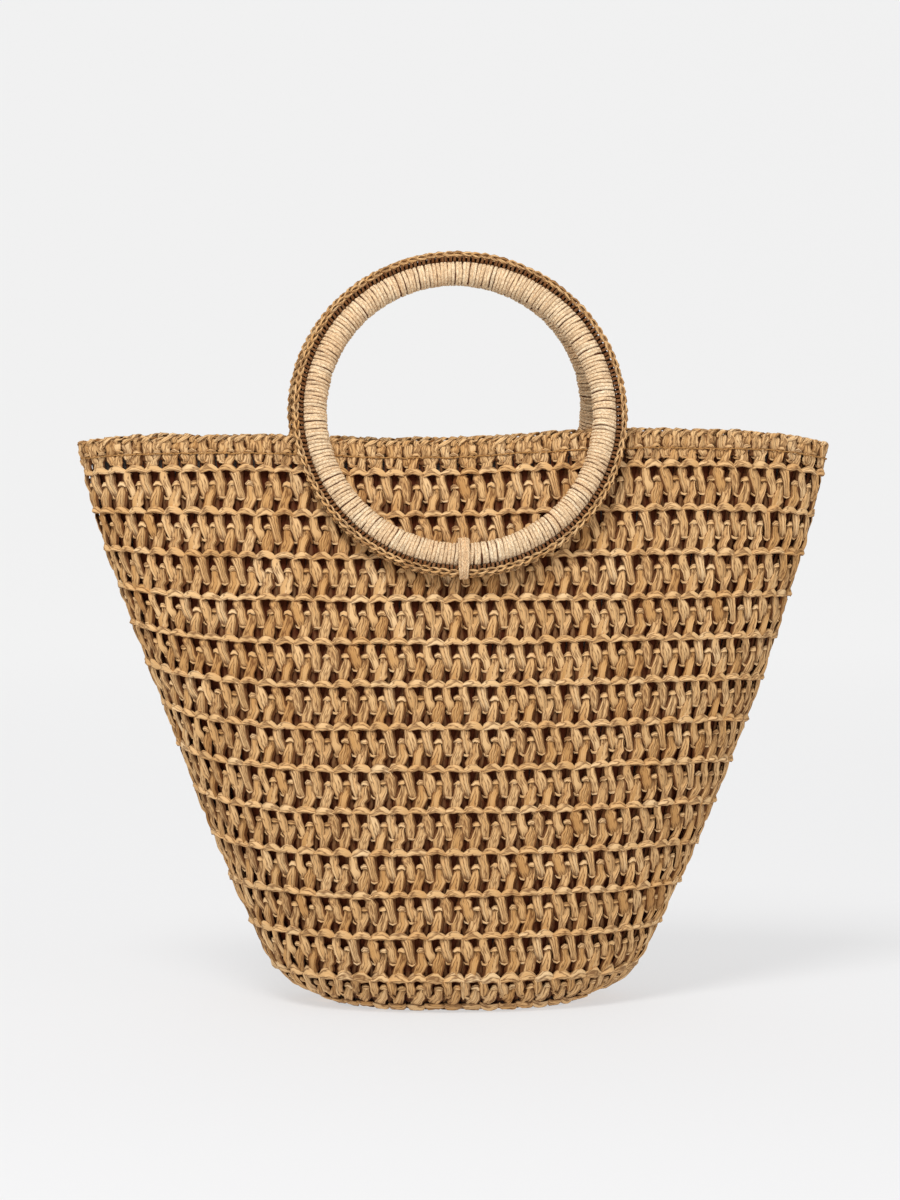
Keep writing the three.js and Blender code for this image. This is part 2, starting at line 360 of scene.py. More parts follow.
@dataclass(frozen=True)
class FloorFinish:
    """Plain studio paper that glows a little, more towards the back, and is lit from the front, so that it
    looks evenly bright and its shadows stay faint.
    """

    colour: tuple[float, float, float, float] = field(default_factory=lambda: srgb(148, 148, 148))
    near_glow: tuple[float, float, float, float] = field(default_factory=lambda: srgb(232, 232, 233))
    far_glow: tuple[float, float, float, float] = field(default_factory=lambda: srgb(250, 250, 250))
    glow_strength: float = 0.68
    near: float = -0.3
    reach: float = 3.0

    def material(self) -> bpy.types.Material:
        """Builds the material.

        Returns:
            The finished material.
        """
        material, tree = new_material("StudioPaper")
        place = tree.add("ShaderNodeTexCoord", output="Object")
        back = tree.add("ShaderNodeSeparateXYZ", {}, {"Vector": place}, output="Y")
        glow = mixed(tree, ((back - self.near) * (1 / self.reach)).clamped(), self.near_glow, self.far_glow)
        surface = tree.add(
            "ShaderNodeBsdfPrincipled",
            {},
            {
                "Base Color": self.colour,
                "Roughness": 0.9,
                "Specular IOR Level": 0.1,
                "Emission Color": glow,
                "Emission Strength": self.glow_strength,
            },
        )
        tree.add("ShaderNodeOutputMaterial", {}, {"Surface": surface})
        return material


def read_curve(keys: np.ndarray, values: np.ndarray, at: np.ndarray) -> np.ndarray:
    """Smooth curve through the values at the keys.

    Args:
        keys: Where the values stand, climbing.
        values: The values.
        at: Where to read.

    Returns:
        The curve there. It stays level beyond both ends.
    """
    last = len(keys) - 1
    place = np.clip(at, keys[0], keys[-1])
    row = np.clip(np.searchsorted(keys, place, side="right") - 1, 0, last - 1)

    def slope(first: np.ndarray, second: np.ndarray) -> np.ndarray:
        """Slope between two keys."""
        return (values[second] - values[first]) / (keys[second] - keys[first])

    start_slope = slope(np.maximum(row - 1, 0), row + 1)
    end_slope = slope(row, np.minimum(row + 2, last))
    span = keys[row + 1] - keys[row]
    share = (place - keys[row]) / span
    line = (2 * share**3 - 3 * share**2 + 1) * values[row] + (3 * share**2 - 2 * share**3) * values[row + 1]
    bend = (share**3 - 2 * share**2 + share) * start_slope + (share**3 - share**2) * end_slope
    return line + bend * span


class Section(NamedTuple):
    """One level of the bag's outline, in shares of its named sizes."""

    height: float
    widen: float
    belly: float
    fullest: float
    corner: float


class Rise(NamedTuple):
    """How far the rows rise at a place across the bag, in shares of the row pitch."""

    across: float
    belly: float
    rim: float


class Side(Enum):
    """A face of the bag, with the turn at which it starts."""

    FRONT = math.pi
    BACK = 0.0


@dataclass
class BagForm:
    """The bag's outer surface, as in the part's source."""

    rim_width: float = 411 * MM
    rim_depth: float = 64 * MM
    rim_height: float = 307.5 * MM
    belly_depth: float = 132 * MM
    base_width: float = 134 * MM
    base_depth: float = 96 * MM
    rim_band: float = 16.5 * MM
    low_band: float = 20.5 * MM
    rows: int = 13
    belly_height: float = 0.32
    rim_sag_reach: float = 0.30
    sections: tuple[Section, ...] = (
        Section(0.00, 0.000, 0.00, 0.00, 2.2),
        Section(0.03, 0.152, 0.60, 0.04, 2.2),
        Section(0.07, 0.245, 0.82, 0.09, 2.2),
        Section(0.14, 0.329, 0.95, 0.15, 2.2),
        Section(0.25, 0.444, 1.00, 0.22, 2.2),
        Section(0.40, 0.583, 1.00, 0.26, 2.2),
        Section(0.60, 0.750, 0.92, 0.24, 2.3),
        Section(0.72, 0.838, 0.71, 0.18, 2.4),
        Section(0.86, 0.931, 0.36, 0.11, 2.6),
        Section(1.00, 1.000, 0.00, 0.06, 2.9),
    )
    rises: tuple[Rise, ...] = (
        Rise(-1.00, 0.42, -0.10),
        Rise(-0.85, 0.20, 0.02),
        Rise(-0.50, 0.03, 0.04),
        Rise(0.00, 0.00, -0.06),
        Rise(0.40, 0.00, 0.14),
        Rise(0.75, 0.02, 0.14),
        Rise(0.90, 0.00, 0.02),
        Rise(1.00, -0.08, -0.16),
    )

    @property
    def row_pitch(self) -> float:
        """Height of one crochet row."""
        return (self.rim_height - self.rim_band - self.low_band) / (self.rows - 1)

    def ridge(self, row: int) -> float:
        """Height of a row's ridge, counted from the lowest."""
        return self.low_band + row * self.row_pitch

    def column(self, name: str, share: np.ndarray) -> np.ndarray:
        """A column of the sections at shares of the rim height."""
        keys = np.array([section.height for section in self.sections])
        return read_curve(keys, np.array([getattr(section, name) for section in self.sections]), share)

    def rise(self, share: np.ndarray, across: np.ndarray) -> np.ndarray:
        """How far a level rises at a place across the bag.

        Args:
            share: Height as a share of the rim height.
            across: Place from the left end, -1, to the right end, 1.

        Returns:
            The rise in metres.
        """
        keys = np.array([row.across for row in self.rises])
        belly = read_curve(keys, np.array([row.belly for row in self.rises]), across)
        rim = read_curve(keys, np.array([row.rim for row in self.rises]), across)
        ramp = np.clip((share - 1 + self.rim_sag_reach) / self.rim_sag_reach, 0, 1)
        near_rim = ramp * ramp * (3 - 2 * ramp)
        near_belly = np.sin(np.pi * np.clip(share, 0, 1)) ** 2
        return self.row_pitch * (near_belly * belly + near_rim * rim)

    def outer(self, height: np.ndarray, turn: np.ndarray) -> np.ndarray:
        """Points of the outer surface. The turn runs anticlockwise seen from above, from the right end.

        Args:
            height: Heights in metres.
            turn: Turns in radians, of the same shape.

        Returns:
            The points, in a last axis of three.
        """
        share = height / self.rim_height
        half_width = (self.base_width + self.column("widen", share) * (self.rim_width - self.base_width)) / 2
        end_depth = np.where(share < self.belly_height, self.base_depth, self.rim_depth)
        half_depth = (end_depth + self.column("belly", share) * (self.belly_depth - end_depth)) / 2
        fullest = self.column("fullest", share)
        across = np.cos(turn)
        reach = half_width * np.where(across > 0, 1 + fullest, 1 - fullest)
        bulge = np.sqrt(np.maximum(1 - np.abs(across) ** self.column("corner", share), 0))
        return np.stack(
            [
                reach * across - fullest * half_width,
                np.sign(np.sin(turn)) * half_depth * bulge,
                height + self.rise(share, across),
            ],
            axis=-1,
        )

    def centre_turn(self, height: np.ndarray, side: Side) -> np.ndarray:
        """Turn of the surface's middle line, where x is 0, on a face.

        Args:
            height: Heights in metres.
            side: The face.

        Returns:
            The turns in radians.
        """
        fullest = self.column("fullest", height / self.rim_height)
        middle = np.arccos(fullest / (1 + fullest))
        return 2 * math.pi - middle if side is Side.FRONT else middle


def grid_faces(rows: int, columns: int) -> list[tuple[int, int, int, int]]:
    """Faces of a grid whose normals point along columns crossed with rows.

    Args:
        rows: Points up the grid.
        columns: Points along each row.

    Returns:
        The corner indices of each face.
    """
    return [
        (corner, corner + 1, corner + columns + 1, corner + columns)
        for row in range(rows - 1)
        for corner in range(row * columns, (row + 1) * columns - 1)
    ]


def tube_faces(rows: int, columns: int) -> list[tuple[int, ...]]:
    """Faces of a grid whose rows close on themselves, with its two ends closed.

    Args:
        rows: Rings of points.
        columns: Points round each ring.

    Returns:
        The corner indices of each face.
    """
    faces = [
        (row * columns + column, row * columns + (column + 1) % columns,
         (row + 1) * columns + (column + 1) % columns, (row + 1) * columns + column)
        for row in range(rows - 1) for column in range(columns)
    ]
    return [*faces, tuple(range(columns))[::-1], tuple(range((rows - 1) * columns, rows * columns))]


def new_mesh(name: str, points: np.ndarray, faces: Sequence[tuple[int, ...]] = ()) -> bpy.types.Mesh:
    """A mesh.

    Args:
        name: The mesh's name.
        points: Its points, in a last axis of three.
        faces: The corner indices of each face.

    Returns:
        The mesh.
    """
    mesh = bpy.data.meshes.new(name)
    mesh.from_pydata(points.reshape(-1, 3).tolist(), [], faces)
    return mesh


def store(mesh: bpy.types.Mesh, name: str, kind: str, values: np.ndarray) -> None:
    """Gives each point of a mesh a value.

    Args:
        mesh: The mesh.
        name: The value's name.
        kind: FLOAT or FLOAT_VECTOR.
        values: The value of each point.
    """
    attribute = mesh.attributes.new(name, kind, "POINT")
    part = "value" if kind == "FLOAT" else "vector"
    attribute.data.foreach_set(part, values.astype(np.float32).ravel())


def store_flat(mesh: bpy.types.Mesh, flat: np.ndarray) -> None:
    """Gives a mesh its flat pattern as a UV map.

    Args:
        mesh: The mesh.
        flat: The place of each point on the pattern, in a last axis of two.
    """
    corners = np.zeros(len(mesh.loops), dtype=np.int32)
    mesh.loops.foreach_get("vertex_index", corners)
    places = flat.reshape(-1, 2)[corners].astype(np.float32)
    mesh.uv_layers.new(name=FLAT_UV).data.foreach_set("uv", places.ravel())


def put_in_scene(name: str, data: bpy.types.ID) -> bpy.types.Object:
    """A new object in the scene.

    Args:
        name: The object's name.
        data: Its mesh, light or camera.

    Returns:
        The object.
    """
    thing = bpy.data.objects.new(name, data)
    bpy.context.scene.collection.objects.link(thing)
    return thing


def arc_lengths(line: np.ndarray) -> np.ndarray:
    """Distance along a line of points, for each point.

    Args:
        line: The points.

    Returns:
        The distances, from 0.
    """
    return np.concatenate([[0], np.cumsum(np.linalg.norm(np.diff(line, axis=0), axis=1))])


def guide_object(name: str, points: np.ndarray, facing: np.ndarray, flat: np.ndarray) -> bpy.types.Object:
    """A surface that flat work is wrapped on.

    Args:
        name: The object's name.
        points: Grid of places, rows by columns by three.
        facing: The outward direction at each.
        flat: The place of each on the flat pattern, rows by columns by two.

    Returns:
        The object, with the flat places as its UV map.
    """
    rows, columns = points.shape[:2]
    mesh = new_mesh(name, points, grid_faces(rows, columns))
    store_flat(mesh, flat)
    store(mesh, "facing", "FLOAT_VECTOR", facing)
    return put_in_scene(name, mesh)


def grid_facing(points: np.ndarray) -> np.ndarray:
    """Outward directions of a grid whose columns run to the right and rows run up, seen from outside.

    Args:
        points: The grid.

    Returns:
        The direction at each point, of length 1.
    """
    along = np.gradient(points, axis=1)
    up = np.gradient(points, axis=0)
    normal = np.cross(along, up)
    return normal / np.linalg.norm(normal, axis=-1, keepdims=True)


@dataclass
class WallPatch:
    """One face of the wall unrolled about its middle line, as seen from outside."""

    form: BagForm
    side: Side
    overlap: float = 10 * MM
    below: float = 3 * MM
    above: float = 8 * MM
    rows: int = 132
    columns: int = 240
    fine: int = 900
    turn_margin: float = 0.5
    ease: int = 6
    heights: np.ndarray = field(init=False)
    left: np.ndarray = field(init=False)
    right: np.ndarray = field(init=False)
    guide: bpy.types.Object = field(init=False)

    def __post_init__(self) -> None:
        """Measures the face level by level and builds its guide."""
        start = self.side.value
        turns = np.linspace(start - self.turn_margin, start + math.pi + self.turn_margin, self.fine)
        self.heights = np.linspace(-self.below, self.form.rim_height + self.above, self.rows)
        grid, flat, left, right = [], [], [], []
        for height in self.heights:
            level = np.full_like(turns, height)
            line = self.form.outer(level, turns)
            arc = arc_lengths(line)
            middle = self.form.centre_turn(np.array([height]), self.side)[0]
            arc -= np.interp(middle, turns, arc)
            left.append(np.interp(start, turns, arc))
            right.append(np.interp(start + math.pi, turns, arc))
            places = np.linspace(left[-1] - self.overlap, right[-1] + self.overlap, self.columns)
            grid.append(self.form.outer(np.full_like(places, height), np.interp(places, arc, turns)))
            flat.append(np.stack([places, np.full_like(places, height)], axis=-1))
        self.left, self.right = np.array(left), np.array(right)
        points = np.array(grid)
        name = f"guide_{self.side.name.lower()}"
        self.guide = guide_object(name, points, grid_facing(points), np.array(flat))

    def marks(self, height: float, pitch: float) -> tuple[np.ndarray, np.ndarray]:
        """Where stitches start along a level: evenly from the middle, squeezed or eased near the ends.

        Args:
            height: The level's height.
            pitch: The stitch width.

        Returns:
            The places, and how far each leans to the right for each metre up.
        """
        places, leans = [], []
        for edges in (self.left, self.right):
            edge = np.interp(height, self.heights, edges)
            slope = np.interp(height, self.heights, np.gradient(edges, self.heights))
            count = max(round(abs(edge) / pitch), 1)
            share = np.arange(count + 1) / count
            even = np.sign(edge) * pitch * np.arange(count + 1)
            place = even + (edge - np.sign(edge) * pitch * count) * share**self.ease
            lean = slope * share**self.ease
            if edge < 0:
                place, lean = place[:0:-1], lean[:0:-1]
            places.append(place)
            leans.append(lean)
        return np.concatenate(places), np.concatenate(leans)


class DepthShade(Enum):
    """Whether a strand gets painted shade by its depth, or is left without it."""

    BY_DEPTH = -1.0
    OPEN = 1.0


@dataclass(frozen=True)
class Cut:
    """How a straw is cut and folded. Lengths are millimetres."""

    thickness: float = 1.9
    sides: int = 8
    stations: int = 7
    fold: float = 0.36
    wander: float = 0.3
    ragged: float = 0.06
    look: DepthShade = DepthShade.BY_DEPTH
    closed: bool = True


BROAD = Cut(thickness=2.2, fold=0.46, wander=0.4, ragged=0.11)
LOOP = Cut(thickness=1.7, sides=6, stations=8, fold=0.28, wander=0.25)
THIN = Cut(thickness=1.1, sides=5, stations=5, fold=0.1)
CAP = Cut(thickness=1.7, sides=6, stations=6, fold=0.15, wander=0.25)
INNER = Cut(thickness=1.0, sides=5, stations=4, fold=0.2, wander=0.4)
LEAF = Cut(thickness=1.5, sides=6, stations=7, fold=0.25, wander=0.4, look=DepthShade.OPEN)
WRAP = Cut(thickness=1.7, sides=6, stations=13, fold=0.08, wander=0.1, look=DepthShade.OPEN, closed=False)
LINK = Cut(thickness=1.6, sides=5, stations=5, fold=0.12, wander=0.15, look=DepthShade.OPEN)
LEG = Cut(thickness=1.0, sides=4, stations=5, fold=0.0, wander=0.15, look=DepthShade.OPEN)

OUTWARD = (0.0, 0.0, 1.0)


class StrawMesh:
    """Collects strands, in millimetres, and turns them into one mesh with its straw map and tones."""

    # Depths in millimetres over which the painted hollow shade goes from none to full.
    open_top = -0.9
    open_floor = -3.2
    uv_spread = 500
    tone_spread = 0.2
    depth_wander = 0.45

    def __init__(self, rng: np.random.Generator) -> None:
        """Starts empty.

        Args:
            rng: The random numbers that make the strands uneven.
        """
        self.rng = rng
        self.points: list[np.ndarray] = []
        self.faces: list[tuple[int, ...]] = []
        self.uvs: list[tuple[float, float]] = []
        self.tones: list[np.ndarray] = []
        self.opens: list[np.ndarray] = []
        self.edges: list[np.ndarray] = []
        self.count = 0

    def add(
        self,
        path: Sequence[tuple[float, float, float]],
        widths: Sequence[float],
        cut: Cut = BROAD,
        tone: float = 0.55,
        facing: Sequence[tuple[float, float, float]] = (OUTWARD,),
    ) -> None:
        """Adds one strand: a creased flat tube along a smooth path.

        Args:
            path: Control points.
            widths: Widths, spread evenly along the path.
            cut: How it is cut and folded.
            tone: The middle of its random tone, 0 dark to 1 light.
            facing: The directions that its flat side faces, spread evenly along the path.
        """
        control = np.array(path, dtype=float)
        control += self.rng.normal(0, cut.wander, control.shape) * np.array([1.0, 1.0, self.depth_wander])
        centre = self._spread(control, cut.stations)
        width = self._spread(np.array(widths, dtype=float)[:, None], cut.stations)
        width *= 1 + self.rng.normal(0, cut.ragged, width.shape)
        face = self._spread(np.array(facing, dtype=float), cut.stations)
        tangent = np.gradient(centre, axis=0)
        across = np.cross(face, tangent)
        across /= np.maximum(np.linalg.norm(across, axis=1, keepdims=True), 1e-9)
        lift = np.cross(tangent, across)
        lift /= np.maximum(np.linalg.norm(lift, axis=1, keepdims=True), 1e-9)
        turns = 2 * math.pi * (np.arange(cut.sides) + 0.5) / cut.sides - math.pi / 2
        folds = 1 + cut.fold * self.rng.choice((-1.0, 1.0)) * np.where(np.arange(cut.sides) % 2, 1.0, -1.0)
        folds = folds + self.rng.normal(0, cut.fold / 2, cut.sides)
        folds = folds + self.rng.normal(0, cut.fold / 3, (cut.stations, cut.sides))
        side = (np.cos(turns) * (1 + (folds - 1) / 3))[:, :, None] * across[:, None, :] * width[:, None] / 2
        rise = (np.sin(turns) * folds)[:, :, None] * lift[:, None, :] * cut.thickness / 2
        rings = centre[:, None, :] + side + rise
        own_tone = float(np.clip(self.rng.normal(tone, self.tone_spread), 0, 1))
        # How far out towards the strand's edge each point lies, which sets where the painted edge shade
        # falls.
        out = np.abs(np.cos(turns))
        self.edges.append(np.tile(out / out.max(), cut.stations))
        self._keep(rings, own_tone, cut)

    @staticmethod
    def _spread(values: np.ndarray, count: int) -> np.ndarray:
        """Values spread smoothly along a number of stations.

        Args:
            values: The values, one row each.
            count: How many stations.

        Returns:
            One row for each station.
        """
        if len(values) == 1:
            return np.repeat(values, count, axis=0)
        keys = np.arange(len(values), dtype=float)
        at = np.linspace(0, len(values) - 1, count)
        return np.stack([read_curve(keys, values[:, axis], at) for axis in range(values.shape[1])], axis=-1)

    def _keep(self, rings: np.ndarray, tone: float, cut: Cut) -> None:
        """Stores a strand.

        Args:
            rings: Its rings of points, stations by sides by three.
            tone: Its tone.
            cut: How it is cut.
        """
        stations, sides = rings.shape[:2]
        centre = rings.mean(axis=1)
        lengths = arc_lengths(centre) + self.rng.uniform(0, self.uv_spread)
        girths = np.arange(sides + 1) * np.linalg.norm(rings[1] - np.roll(rings[1], 1, axis=0), axis=1).mean()
        girths = girths + self.rng.uniform(0, self.uv_spread)
        start = self.count
        for station in range(stations - 1):
            low, high = start + station * sides, start + (station + 1) * sides
            first, second = lengths[station], lengths[station + 1]
            for facet in range(sides):
                following = (facet + 1) % sides
                left, right = girths[facet], girths[facet + 1]
                self.faces.append((low + facet, low + following, high + following, high + facet))
                self.uvs += [(first, left), (first, right), (second, right), (second, left)]
        if cut.closed:
            for station, order in ((0, -1), (stations - 1, 1)):
                self.faces.append(tuple(start + station * sides + np.arange(sides)[::order]))
                self.uvs += [(lengths[station], girths[facet]) for facet in range(sides)][::order]
        flat = rings.reshape(-1, 3)
        self.points.append(flat)
        self.tones.append(np.full(len(flat), tone))
        # Painted shade by depth: 1 keeps the straw's colour, 0 gives the hollow colour.
        depth = np.clip((flat[:, 2] - self.open_floor) / (self.open_top - self.open_floor), 0, 1)
        self.opens.append(depth if cut.look is DepthShade.BY_DEPTH else np.full(len(flat), cut.look.value))
        self.count += len(flat)

    def mesh(self, name: str, scale: tuple[float, float, float] = (MM, MM, MM)) -> bpy.types.Mesh:
        """The collected strands as a mesh.

        Args:
            name: The mesh's name.
            scale: What the millimetres of each axis are multiplied by.

        Returns:
            The mesh, smooth shaded.
        """
        mesh = new_mesh(name, np.concatenate(self.points) * np.array(scale), self.faces)
        layer = mesh.uv_layers.new(name=STRAW_UV)
        layer.data.foreach_set("uv", np.array(self.uvs, dtype=np.float32).ravel())
        for label, values in (("tone", self.tones), ("open", self.opens), ("edge", self.edges)):
            store(mesh, label, "FLOAT", np.concatenate(values))
        mesh.shade_smooth()
        return mesh


Motif = Callable[[StrawMesh], None]


@dataclass
class MotifSet:
    """Several uneven versions of one piece of handwork, to be picked from at random."""

    name: str
    draw: Motif
    size_mm: tuple[float, float]
    versions: int = 12
    seed: int = 1

    def collection(self) -> bpy.types.Collection:
        """Draws the versions, each scaled so that its cell is one by one.

        Returns:
            The collection that holds them.
        """
        collection = bpy.data.collections.new(self.name + MOTIF_MARK)
        bpy.context.scene.collection.children.link(collection)
        for version in range(self.versions):
            straw = StrawMesh(np.random.default_rng(self.seed * 1000 + version))
            self.draw(straw)
            mesh = straw.mesh(f"{self.name}_{version:02d}", (1 / self.size_mm[0], 1 / self.size_mm[1], MM))
            collection.objects.link(bpy.data.objects.new(mesh.name, mesh))
        return collection


@dataclass
class Cells:
    """Where the copies of a motif go on the flat pattern."""

    places: np.ndarray
    sizes: np.ndarray
    leans: np.ndarray

    @classmethod
    def joined(cls, parts: Sequence["Cells"]) -> "Cells":
        """Several lists of cells as one."""
        names = ("places", "sizes", "leans")
        return cls(*(np.concatenate([getattr(part, name) for part in parts]) for name in names))

    @classmethod
    def evenly(cls, start: float, length: float, count: int, level: float, height: float) -> "Cells":
        """Equal upright cells in a row.

        Args:
            start: Where the row starts.
            length: Its whole length.
            count: How many cells.
            level: The height at which the cells' origin lies.
            height: What one unit of the motif's height becomes.

        Returns:
            The cells.
        """
        width = length / count
        places = np.stack([start + width * np.arange(count), np.full(count, level)], axis=-1)
        return cls(places, np.tile([width, height], (count, 1)), np.zeros(count))

    def points(self, name: str) -> bpy.types.Object:
        """The cells as loose points with their sizes and leans.

        Args:
            name: The object's name.

        Returns:
            The object.
        """
        count = len(self.places)
        mesh = new_mesh(name, np.concatenate([self.places, np.zeros((count, 1))], axis=1))
        store(mesh, "cell_size", "FLOAT_VECTOR", np.concatenate([self.sizes, np.ones((count, 1))], axis=1))
        store(mesh, "cell_lean", "FLOAT", self.leans)
        store(mesh, "cell_level", "FLOAT", self.places[:, 1])
        return put_in_scene(name, mesh)


@dataclass(frozen=True)
class Hand:
    """How unevenly a piece is worked."""

    seed: int = 1
    turn: float = 0.02
    drift: float = 2.2 * MM
    drift_length: float = 45 * MM
    unevenness: float = 1.0 * MM
    grain_length: float = 6 * MM


class Handwork:
    """The Geometry Nodes tree that sets motifs out on a flat pattern and wraps it on a guide."""

    inputs = (
        ("Motifs", "Collection"), ("Guide", "Object"), ("Versions", "Int"), ("Seed", "Int"),
        ("Turn", "Float"), ("Drift", "Float"), ("Drift Length", "Float"), ("Unevenness", "Float"),
        ("Grain Length", "Float"), ("Finish", "Material"),
    )
    crease_angle = math.radians(32)

    def __init__(self) -> None:
        """Builds the tree once, for every piece that uses it."""
        self.group = bpy.data.node_groups.new("Handwork", "GeometryNodeTree")
        self.tree = Tree(self.group)
        interface = self.group.interface
        interface.new_socket("Geometry", in_out="INPUT", socket_type="NodeSocketGeometry")
        for name, kind in self.inputs:
            interface.new_socket(name, in_out="INPUT", socket_type=f"NodeSocket{kind}")
        interface.new_socket("Geometry", in_out="OUTPUT", socket_type="NodeSocketGeometry")
        self.given = self.group.nodes.new("NodeGroupInput")
        self._wrap(self._unsettle(self._set_out()))

    def _asked(self, name: str) -> Node:
        """A named input of the tree."""
        return Node(self.tree, self.given.outputs[name])

    def _read(self, name: str, kind: str = "FLOAT") -> Node:
        """A named attribute."""
        return self.tree.add("GeometryNodeInputNamedAttribute", {"data_type": kind}, {"Name": name})

    def _vector(self, operation: str, first: Any, second: Any) -> Node:
        """A Vector Math node on two vectors."""
        return self.tree.add("ShaderNodeVectorMath", {"operation": operation}, {0: first, 1: second})

    def _scaled(self, vector: Node, amount: Node) -> Node:
        """A vector times a number."""
        return self.tree.add("ShaderNodeVectorMath", {"operation": "SCALE"}, {0: vector, "Scale": amount})

    def _random(self, kind: str, low: Any, high: Any, shift: int) -> Node:
        """A random value for each cell."""
        return self.tree.add(
            "FunctionNodeRandomValue",
            {"data_type": kind},
            {"Min": low, "Max": high, "Seed": self._asked("Seed") + shift},
        )

    def _set_out(self) -> Node:
        """Puts a random motif in each cell and makes the copies real.

        Returns:
            The flat work.
        """
        tree = self.tree
        motifs = tree.add(
            "GeometryNodeCollectionInfo",
            {},
            {"Collection": self._asked("Motifs"), "Separate Children": True, "Reset Children": True},
        )
        turn = self._random("FLOAT", -1 * self._asked("Turn"), self._asked("Turn"), 7)
        placed = tree.add(
            "GeometryNodeInstanceOnPoints",
            {},
            {
                "Points": self._asked("Geometry"),
                "Instance": motifs,
                "Pick Instance": True,
                "Instance Index": self._random("INT", 0, self._asked("Versions") - 1, 0),
                "Rotation": tree.add("ShaderNodeCombineXYZ", {}, {"Z": turn}),
                "Scale": self._read("cell_size", "FLOAT_VECTOR"),
            },
        )
        toned = tree.add(
            "GeometryNodeStoreNamedAttribute",
            {"data_type": "FLOAT", "domain": "INSTANCE"},
            {"Geometry": placed, "Name": "cell_tone", "Value": self._random("FLOAT", 0.0, 1.0, 3)},
        )
        return tree.add("GeometryNodeRealizeInstances", {}, {"Geometry": toned})

    def _moved(self, geometry: Node, offset: Node) -> Node:
        """Geometry moved by an offset."""
        return self.tree.add("GeometryNodeSetPosition", {}, {"Geometry": geometry, "Offset": offset})

    def _noise(self, amount: str, length: str, shift: float, mask: tuple[float, float, float]) -> Node:
        """A smooth offset that wanders along the flat pattern, the same in every piece on a guide.

        Args:
            amount: The input that holds its size.
            length: The input that holds its wave length.
            shift: What sets it apart from other noise.
            mask: How much of it each axis takes.

        Returns:
            The offset.
        """
        place = self._scaled(self.tree.add("GeometryNodeInputPosition"), self._asked(length) ** -1)
        wave = self.tree.add(
            "ShaderNodeTexNoise",
            {"noise_dimensions": "4D"},
            {"Vector": place, "W": shift, "Scale": 1.0, "Detail": 1.0},
            output="Color",
        )
        centred = self._vector("SUBTRACT", wave, (0.5, 0.5, 0.5))
        return self._scaled(self._vector("MULTIPLY", centred, mask), self._asked(amount))

    def _unsettle(self, geometry: Node) -> Node:
        """Leans the cells and makes the rows and straws wander.

        Args:
            geometry: The flat work.

        Returns:
            The uneven flat work.
        """
        tree = self.tree
        place = tree.add("GeometryNodeInputPosition")
        height = tree.add("ShaderNodeSeparateXYZ", {}, {"Vector": place}, output="Y")
        lean = self._read("cell_lean") * (height - self._read("cell_level"))
        leaning = self._moved(geometry, tree.add("ShaderNodeCombineXYZ", {}, {"X": lean}))
        drifting = self._moved(leaning, self._noise("Drift", "Drift Length", 11.0, (0.6, 1.0, 0.25)))
        return self._moved(drifting, self._noise("Unevenness", "Grain Length", 23.0, (1.0, 1.0, 0.7)))

    def _wrap(self, flat: Node) -> None:
        """Lays the flat work on the guide and dresses it.

        Args:
            flat: The flat work.
        """
        tree = self.tree
        guide = tree.add("GeometryNodeObjectInfo", {}, {"Object": self._asked("Guide")}, output="Geometry")
        place = tree.add("GeometryNodeInputPosition")

        def on_guide(value: Node) -> Node:
            """A value of the guide read at a point's place on the flat pattern."""
            return tree.add(
                "GeometryNodeSampleUVSurface",
                {"data_type": "FLOAT_VECTOR"},
                {
                    "Mesh": guide,
                    "Value": value,
                    "UV Map": self._read(FLAT_UV, "FLOAT_VECTOR"),
                    "Sample UV": place,
                },
            )

        depth = tree.add("ShaderNodeSeparateXYZ", {}, {"Vector": place}, output="Z")
        raised = self._scaled(on_guide(self._read("facing", "FLOAT_VECTOR")), depth)
        surface = self._vector("ADD", on_guide(tree.add("GeometryNodeInputPosition")), raised)
        wrapped = tree.add("GeometryNodeSetPosition", {}, {"Geometry": flat, "Position": surface})
        finish = self._asked("Finish")
        dressed = tree.add("GeometryNodeSetMaterial", {}, {"Geometry": wrapped, "Material": finish})
        tree.add("NodeGroupOutput", {}, {"Geometry": dressed})

    def make(
        self,
        name: str,
        cells: Cells,
        motifs: bpy.types.Collection,
        guide: bpy.types.Object,
        finish: bpy.types.Material,
        hand: Hand,
    ) -> bpy.types.Object:
        """Runs the tree on a list of cells and keeps the result as a plain mesh.

        Args:
            name: The piece's name.
            cells: Where the motifs go.
            motifs: The motif's versions.
            guide: The surface to wrap the work on.
            finish: The straw's material.
            hand: How unevenly it is worked.

        Returns:
            The piece.
        """
        source = cells.points(f"{name}_cells")
        modifier = source.modifiers.new("Handwork", "NODES")
        modifier.node_group = self.group
        values = {
            "Motifs": motifs, "Guide": guide, "Versions": len(motifs.objects), "Seed": hand.seed,
            "Turn": hand.turn, "Drift": hand.drift, "Drift Length": hand.drift_length,
            "Unevenness": hand.unevenness, "Grain Length": hand.grain_length, "Finish": finish,
        }
        for item in self.group.interface.items_tree:
            if item.in_out == "INPUT" and item.name in values:
                modifier[item.identifier] = values[item.name]
        source.update_tag()
        depsgraph = bpy.context.evaluated_depsgraph_get()
        mesh = bpy.data.meshes.new_from_object(
            source.evaluated_get(depsgraph), preserve_all_data_layers=True, depsgraph=depsgraph
        )
        bpy.data.objects.remove(source)
        for label in ("cell_size", "cell_lean", "cell_level"):
            mesh.attributes.remove(mesh.attributes[label])
        return finished(name, mesh)


